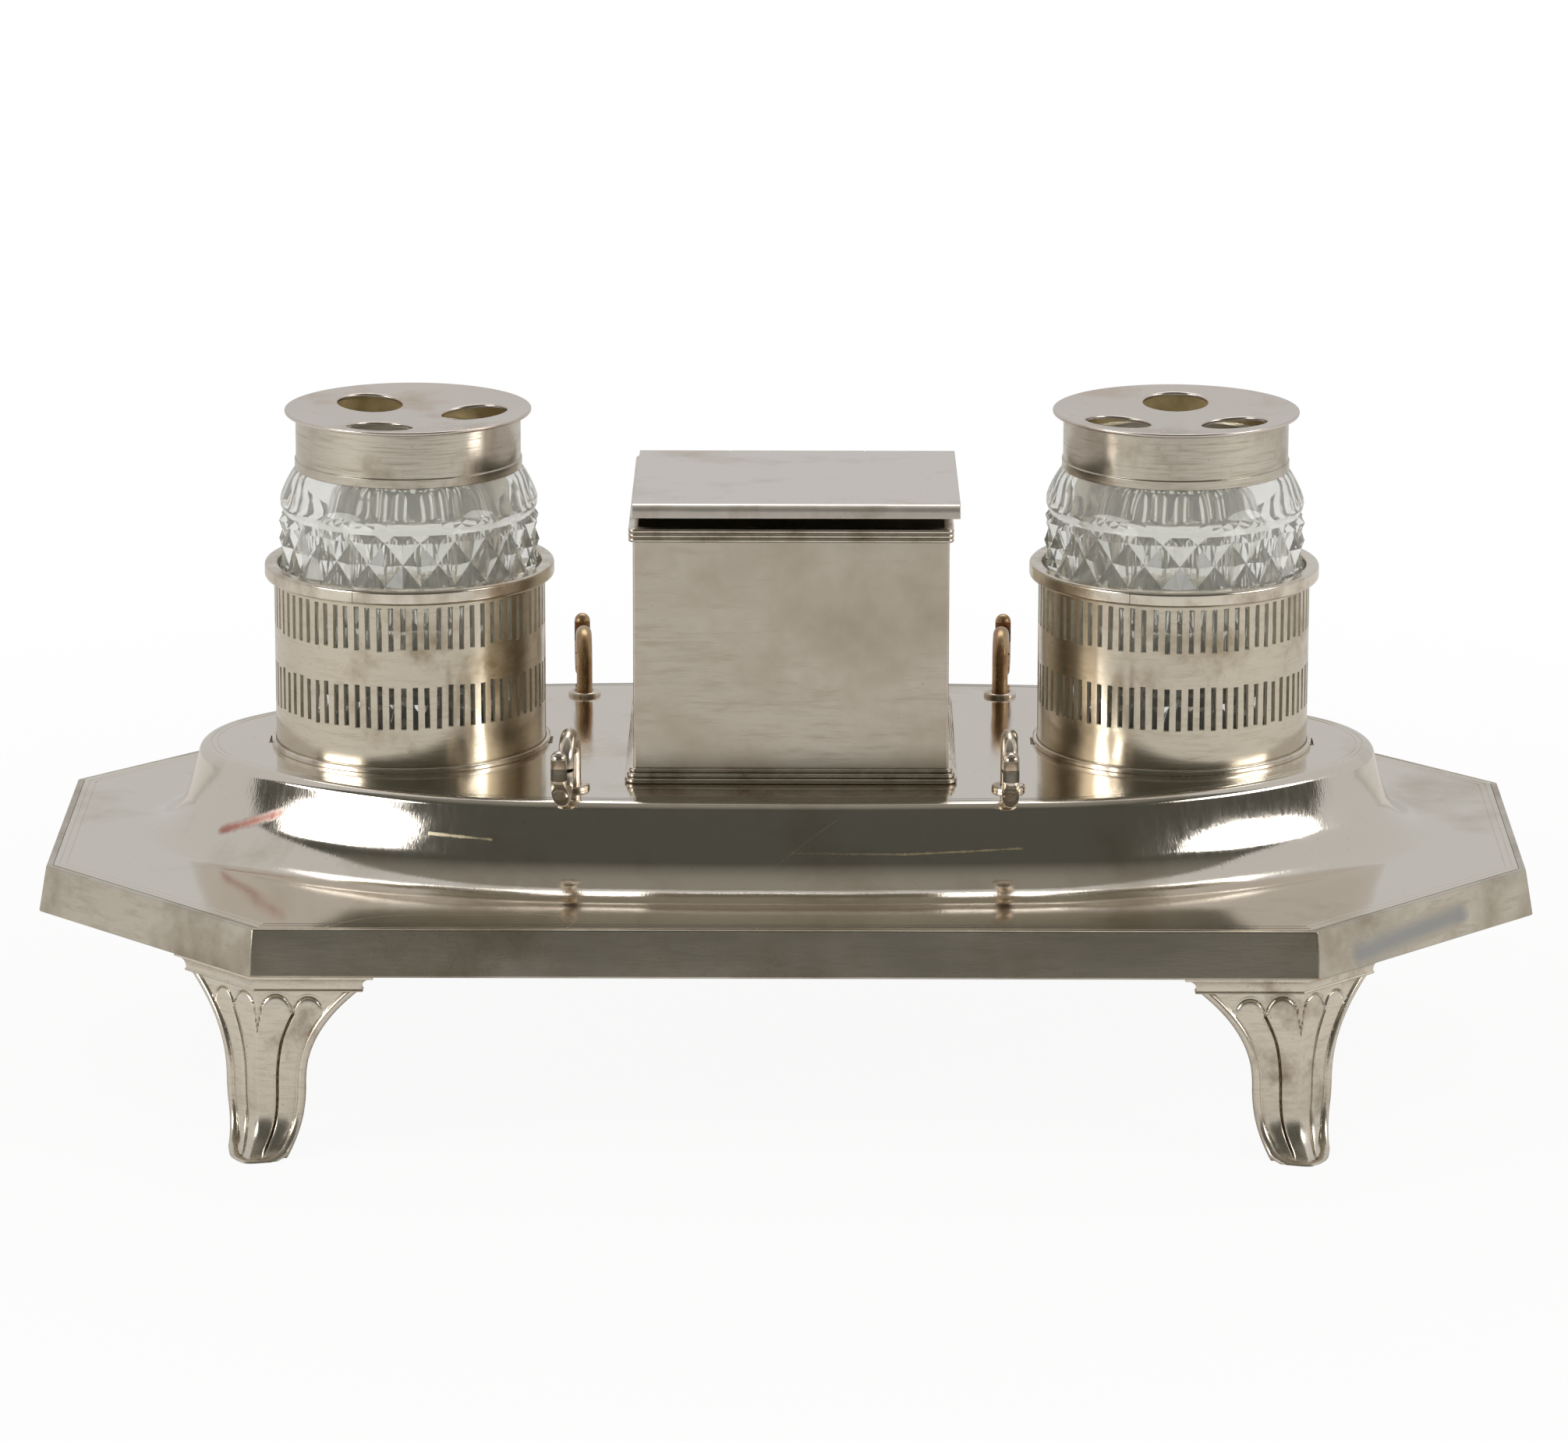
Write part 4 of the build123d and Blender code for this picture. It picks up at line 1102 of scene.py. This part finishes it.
wall = collar_radius - strip_step
bore = wall - collar_sheet
strip_top = shoulder_height + strip_height
collar_outline = [
    (bore, shoulder_height), (collar_radius, shoulder_height), (collar_radius, strip_top),
    (wall, strip_top + 0.1), (wall, float(dish(wall)) - 0.03), (bore, float(dish(bore)) - 0.03),
]
collar_loop = closed_bent(collar_outline, [0.1, 0.2, 0.15, 0.1, 0, 0], 5)
# the disc's edges, outer and in its holes, are rounded: (distance back from the edge, height above the
# underside)
disc_round = 0.3
quarter = np.linspace(math.pi / 2, 0, 5)
edge = [(disc_round * (1 - math.cos(t)), disc_round * (1 - math.sin(t))) for t in quarter]
edge = [(back, disc_sheet - down) for back, down in edge] + edge[::-1]
for side, x in gallery_x.items():
    collar = piece(
        f"spun_collar_{side}", [web(turned(collar_loop, even_turns(192), x), wrap_u=True, wrap_v=True)],
        cap_collar_plate, f"cap_{side}", [f"cap_collar_{side}"], crease=40,
    )
    refinish(collar, unpolished, within(x, bore + 0.05))
    centres = [math.radians(hole_turns[side] + 120 * k) for k in range(3)]
    centres = [(x + hole_ring * math.cos(t), hole_ring * math.sin(t)) for t in centres]
    # further points in rings 1.9 apart let the sheet follow the sphere; those near a hole are left out
    reaches = np.arange(2.0, disc_radius - 1, 1.9)
    spots = np.concatenate([circle(x, 0, reach, max(6, int(reach * 3))) for reach in reaches])
    clear_of = [np.hypot(spots[:, 0] - cx, spots[:, 1] - cy) > hole_radius + 1.0 for cx, cy in centres]
    spots = spots[np.all(clear_of, axis=0)]
    rounds = [(x, 0, disc_radius, -1, 160)] + [(cx, cy, hole_radius, 1, 72) for cx, cy in centres]
    loops = [circle(cx, cy, radius + way * disc_round, steps) for cx, cy, radius, way, steps in rounds]
    sheet, faces = flat(0, loops[0], loops[1:], spots)
    patches = [(dished(sheet[:, :2], x, lift), faces) for lift in (disc_sheet, 0.0)]
    for cx, cy, radius, way, steps in rounds:
        rings = [dished(circle(cx, cy, radius + way * back, steps), x, lift) for back, lift in edge]
        patches.append(web(np.array(rings), wrap_v=True))
    piece(
        f"pierced_disc_{side}", patches, cap_disc_plate, f"cap_{side}", [f"cap_disc_{side}"],
        crease=40,
    )

# ---- box: four walls soldered up from sheet on a stepped foot, with three half-round reeds round the top ---
# The walls are satin from years of rubbing, with level wipe marks; warm tarnish is darker in the corners.

box_width, box_depth, box_wall, box_height = 63.6, 68.6, 1.0, 52.6
reed_count, reed_height, reed_reach = 3, 0.94, 0.9
reed_round, box_corner, box_floor_sheet = 0.42, 0.5, 1.0
# height, reach and rounding of each step of the foot, from the platform up
base_steps = ((1.1, 1.8, 0.45), (1.0, 1.35, 0.4), (0.9, 0.9, 0.6))
body_top = box_height - reed_count * reed_height
box_plate = plate(
    "satin_silver_plate_box", "#DCD3C5", "#BDB098", patch_mm=30.0, patchiness=0.6, smooth=0.3, dull=0.4,
    grain=(0.3, 0.3, 3), streaks=0.5, corner_mm=3.0,
)
moulding_plate = plate(
    "worn_silver_plate_moulding", "#EAE1D4", "#938166", patch_mm=8.0, patchiness=0.5, smooth=0.18,
)


def box_loop(reach, corner):
    """The box's outline grown by a distance, each corner a quarter circle."""
    x, y = box_width / 2 + reach - corner, box_depth / 2 + reach - corner
    loop = []
    for k, (sx, sy) in enumerate(((1, 1), (-1, 1), (-1, -1), (1, -1))):
        t = np.linspace(0, math.pi / 2, 7) + k * math.pi / 2
        middle = np.array([fittings_shift + sx * x, sy * y])
        loop.append(middle + corner * np.column_stack([np.cos(t), np.sin(t)]))
    return np.concatenate(loop)


def box_rings(profile):
    """Carries a closed profile of (reach, height above the platform) round the box."""
    rings = []
    for reach, z in profile:
        rings.append(at_height(box_loop(reach, max(0.15, box_corner + reach)), platform_z + z))
    return web(np.array(rings), wrap_u=True, wrap_v=True)


body_profile = [(0, 0), (0, body_top), (-box_wall, body_top), (-box_wall, 0)]
piece("box_walls", [box_rings(body_profile)], box_plate, "stand", ["box_body"], crease=40)
floor_loop = box_loop(-box_wall - tray_fit, 0.3)
floor_faces = [list(range(len(floor_loop)))]
patches = [rod_wall(floor_loop, platform_z, platform_z + box_floor_sheet)]
patches += [(at_height(floor_loop, platform_z + z), floor_faces) for z in (0, box_floor_sheet)]
piece("box_bottom_sheet", patches, box_plate, "stand", ["box_floor"], crease=40)


def rounded(reach, low, high, radius):
    """Outer side of a strip with both edges rounded."""
    turns = np.linspace(-math.pi / 2, 0, 5)
    start = [(reach - radius + radius * math.cos(t), low + radius + radius * math.sin(t)) for t in turns]
    return start + [(a, low + high - b) for a, b in start[::-1]]


foot_profile, low = [], 0.0
for height, reach, edge_round in base_steps:
    radius = min(edge_round, height / 2 - 0.01)
    foot_profile += rounded(reach, low, low + height, radius)
    low += height
foot_profile += [(tray_fit, low), (tray_fit, 0)]
piece(
    "stepped_foot", [box_rings(foot_profile)], moulding_plate, "stand", ["box_base_moulding"],
    crease=50,
)
reed_profile = []
for reed in range(reed_count):
    low = body_top + reed * reed_height
    reed_profile += rounded(reed_reach, low, low + reed_height, reed_round)
reed_profile += [(-box_wall, box_height), (-box_wall, body_top)]
piece(
    "reeded_rim", [box_rings(reed_profile)], moulding_plate, "stand", ["box_rim_moulding"],
    crease=50,
)

# ---- lid: a plate with its front edge folded down, standing a little open on a worn three-knuckle hinge ----
# The top is polished; the folded lip is rubbed to a satin, and its paler colour is a painted sheen for the
# light that the lip catches.

lid_width, lid_x = 65.9, 2.0
lid_sheet, lid_lip, lid_ajar = 0.7, 2.9, math.radians(3.6)
# the fold is rounded outside and tight inside, where it has to clear the rim; the satin with its painted
# sheen starts part of the way up
lid_fold, inner_fold, lip_edge, satin_and_sheen_share = 1.6, 0.4, 0.22, 0.45
lid_under = platform_z + box_height + 0.05
lid_top = lid_under + lid_sheet
lid_front = -box_depth / 2 - reed_reach - 0.35 - lid_sheet
barrel_radius, pin_radius, hinge_fit, hinge_gap = 0.9, 0.5, 0.03, 0.2
centre_knuckle, leaf_height, leaf_sheet = 28.0, 2.6, 0.5
hinge_y = box_depth / 2 + reed_reach + hinge_gap + barrel_radius
hinge_z = lid_top - barrel_radius
side_knuckle = (lid_width - centre_knuckle) / 2 - hinge_gap
lid_plate = plate("worn_silver_plate_lid", "#E6DDD5", "#B7A68C", patch_mm=30.0, patchiness=0.35, smooth=0.22)
# the lip's plate is a paler copy of the lid's: its rougher satin is real rubbing, and its paler colour is
# painted sheen for the light it catches
lip_satin_and_sheen = plate(
    "rubbed_silver_plate_lip_painted_sheen", "#EFE7DE", "#B7A68C", patch_mm=14.0, patchiness=0.4, smooth=0.4, dull=0.5,
)


def swung(points):
    """Turns points about the hinge's line by the angle that the lid stands open."""
    points = np.array(points, float)
    y, z = points[..., 1] - hinge_y, points[..., 2] - hinge_z
    points[..., 1] = hinge_y + y * math.cos(lid_ajar) + z * math.sin(lid_ajar)
    points[..., 2] = hinge_z - y * math.sin(lid_ajar) + z * math.cos(lid_ajar)
    return points


def lid_profile(back_top, back_under):
    """Section of the lid from the lip's foot over the top to the hinge and back underneath."""
    lip_inside = (lid_front + lid_sheet, lid_top - lid_lip)
    lip_foot, front_edge = (lid_front, lid_top - lid_lip), (lid_front, lid_top)
    top = bent([lip_inside, lip_foot, front_edge, (back_top, lid_top)], [lip_edge, lid_fold], 9)
    under = bent([(back_under, lid_under), (lid_front + lid_sheet, lid_under), lip_inside], [inner_fold], 7)
    return np.vstack([top, under[:-1]])


middle_half = centre_knuckle / 2 + hinge_gap
side_back = lid_profile(hinge_y - 0.02, hinge_y - barrel_radius)
middle_back = lid_profile(hinge_y - 0.62, hinge_y - barrel_radius - hinge_gap)
# sections across the lid: place, profile and how far a bevelled end is drawn in
bevel = 0.12
sections = (
    (-lid_width / 2, side_back, bevel), (-lid_width / 2 + bevel, side_back, 0), (-middle_half, side_back, 0),
    (-middle_half, middle_back, 0), (middle_half, middle_back, 0), (middle_half, side_back, 0),
    (lid_width / 2 - bevel, side_back, 0), (lid_width / 2, side_back, bevel),
)
columns = []
for x, line, shrink in sections:
    along = np.roll(line, -1, 0) - np.roll(line, 1, 0)
    along /= np.hypot(along[:, 0], along[:, 1])[:, None]
    tight = line + np.column_stack([along[:, 1], -along[:, 0]]) * shrink
    columns.append(np.column_stack([np.full(len(tight), lid_x + x), tight]))
columns = swung(columns)
ends = [(columns[i], [list(range(columns.shape[1]))]) for i in (0, -1)]
lid = piece(
    "lid_sheet", [web(columns, wrap_v=True), *ends], lid_plate, "lid", ["box_lid"], crease=35,
)
fold_start = swung([[0, lid_front + lid_fold * satin_and_sheen_share, lid_top]])[0, 1]
refinish(lid, lip_satin_and_sheen, lambda middles: middles[:, 1] < fold_start)


def barrel(start, length, radius, bore):
    """A tube or rod along the hinge's line with softened ends."""
    soft, steps = 0.08, 40
    section = [
        (0, bore), (0, radius - soft), (soft, radius),
        (length - soft, radius), (length, radius - soft), (length, bore),
    ]
    turns = even_turns(steps)
    rings = []
    for along, r in section:
        y, z = hinge_y + r * np.cos(turns), hinge_z + r * np.sin(turns)
        rings.append(np.column_stack([np.full(steps, start + along), y, z]))
    if bore:
        return [web(np.array(rings), wrap_u=True, wrap_v=True)]
    end_face = [list(range(steps))]
    return [web(np.array(rings[1:-1]), wrap_v=True), (rings[1], end_face), (rings[-2], end_face)]


knuckles = []
for start in (lid_x - lid_width / 2, lid_x + middle_half):
    for points, faces in barrel(start, side_knuckle, barrel_radius, pin_radius + hinge_fit):
        knuckles.append((swung(points), faces))
piece("lid_knuckle_tubes", knuckles, moulding_plate, "lid", ["lid_knuckles"], crease=40)
start = lid_x - centre_knuckle / 2
leaf_front = box_depth / 2 + reed_reach
leaf_back, leaf_low = leaf_front + leaf_sheet, hinge_z - leaf_height
leaf = np.array([(leaf_front, hinge_z), (leaf_back, hinge_z), (leaf_back, leaf_low), (leaf_front, leaf_low)])
leaf_ends = np.array([np.column_stack([np.full(4, x), leaf]) for x in (start, start + centre_knuckle)])
patches = barrel(start, centre_knuckle, barrel_radius, pin_radius + hinge_fit)
patches += [web(leaf_ends, wrap_v=True), (leaf_ends[0], [(0, 1, 2, 3)]), (leaf_ends[1], [(0, 1, 2, 3)])]
piece("hinge_leaf", patches, moulding_plate, "stand", ["hinge_centre_knuckle"], crease=40)
pin = barrel(lid_x - lid_width / 2, lid_width, pin_radius, 0)
piece("hinge_wire", pin, moulding_plate, "stand", ["hinge_pin"], crease=40)

# ---- pen rests: plated wire bent over and under like an S, with a domed collar above and a nut below -------
# The tips are filed round. The rear pair has gone brown, and on its posts the copper shows red.

bend_radius, rest_crest, tip_height, rest_tail = 5.1, 13.6, 12.8, 4.2
collar_out, collar_height, collar_round = 3.4, 0.9, 0.5
nut_width, nut_height, nut_corner, nut_bevel = 6.0, 2.2, 3.15, 0.25
tail_bevel, wire_steps = 0.3, 20
bend_z = rest_crest - rest_wire - bend_radius
front_wire = plate("worn_silver_plate_wire", "#E6DBCE", "#937F5A", patch_mm=5.0, patchiness=0.6, smooth=0.18)
rear_wire = plate(
    "tarnished_silver_plate_wire", "#BEA580", "#8C5437", patch_mm=5.0, patchiness=0.9, smooth=0.24,
)
nut_brass = plate("brass_nuts", "#CDB378", "#7C6640", patch_mm=4.0, patchiness=0.6, smooth=0.3)
# the wire's middle line as (distance out of the post, height, lean): up the post, over, under and up to the
# tip
arc = np.linspace(math.pi, 0, 28)
spine = [(0, z, 0) for z in np.linspace(-tray_sheet - rest_tail, bend_z, 8)[:-1]]
for t in arc:
    across, up = bend_radius * math.cos(t), bend_radius * math.sin(t)
    spine.append((bend_radius + across, bend_z + up, math.pi - t))
for t in arc[-2::-1]:
    across, up = bend_radius * math.cos(t), bend_radius * math.sin(t)
    spine.append((3 * bend_radius - across, bend_z - up, t))
spine += [(4 * bend_radius, tip_height - rest_wire, 0)]
spine = np.array(spine)
spin = even_turns(wire_steps)[:, None]
for place_name, (sx, sy, turn) in rest_places.items():
    turn = math.radians(turn)
    outward = np.array([sx * math.sin(turn), sy * math.cos(turn), 0])
    side_way = np.array([-outward[1], outward[0], 0])
    foot = np.array([fittings_shift + sx * rest_reach, sy * rest_rise, platform_z])
    ring = outward * np.cos(spin) + side_way * np.sin(spin)
    start, tip = (foot + outward * spine[i, 0] + [0, 0, spine[i, 1]] for i in (0, -1))
    rings = [start + ring * (rest_wire - tail_bevel), start + ring * rest_wire + [0, 0, tail_bevel]]
    for out_way, up, lean in spine[1:]:
        normal = outward * math.cos(lean) - np.array([0, 0, math.sin(lean)])
        leant = normal * np.cos(spin) + side_way * np.sin(spin)
        rings.append(foot + outward * out_way + [0, 0, up] + leant * rest_wire)
    for t in np.linspace(0, math.pi / 2, 9)[1:]:
        rings.append(tip + ring * max(rest_wire * math.cos(t), 0.05) + [0, 0, rest_wire * math.sin(t)])
    end_face = [list(range(wire_steps))]
    patches = [web(np.array(rings), wrap_v=True), (rings[0], end_face), (rings[-1], end_face)]
    wire = rear_wire if sy > 0 else front_wire
    piece(
        f"bent_wire_{place_name}", patches, wire, "stand", [f"pen_rest_{place_name}"],
        crease=40,
    )

post_bore = rest_wire + hinge_fit
collar_section = closed_bent(
    [(collar_out, 0), (collar_out, collar_height), (post_bore, collar_height), (post_bore, 0)],
    [0.05, collar_round, 0.05, 0.05],
    6,
)
# a nut's plan is a hexagon; its corners are turned off where a cone meets them
round_post = even_turns(48)
flats = nut_width / 2 / np.cos((round_post + math.pi / 6) % (math.pi / 3) - math.pi / 6)
trimmed = np.minimum(flats, nut_corner)
nut_levels = (
    (trimmed, 0), (flats, -nut_bevel), (flats, nut_bevel - nut_height), (trimmed, -nut_height),
    (post_bore, -nut_height), (post_bore, 0),
)
collars, nuts = [], []
for sx, sy, _ in rest_places.values():
    x, y = fittings_shift + sx * rest_reach, sy * rest_rise
    collars.append(web(turned(collar_section, round_post, x, y), wrap_u=True, wrap_v=True))
    rings = [round_axis(reach, round_post, level - tray_sheet, x, y) for reach, level in nut_levels]
    nuts.append(web(np.array(rings), wrap_u=True, wrap_v=True))
piece("domed_collars", collars, front_wire, "stand", ["pen_rest_collars"], crease=40)
piece("six_sided_nuts", nuts, nut_brass, "stand", ["pen_rest_nuts"], crease=25)
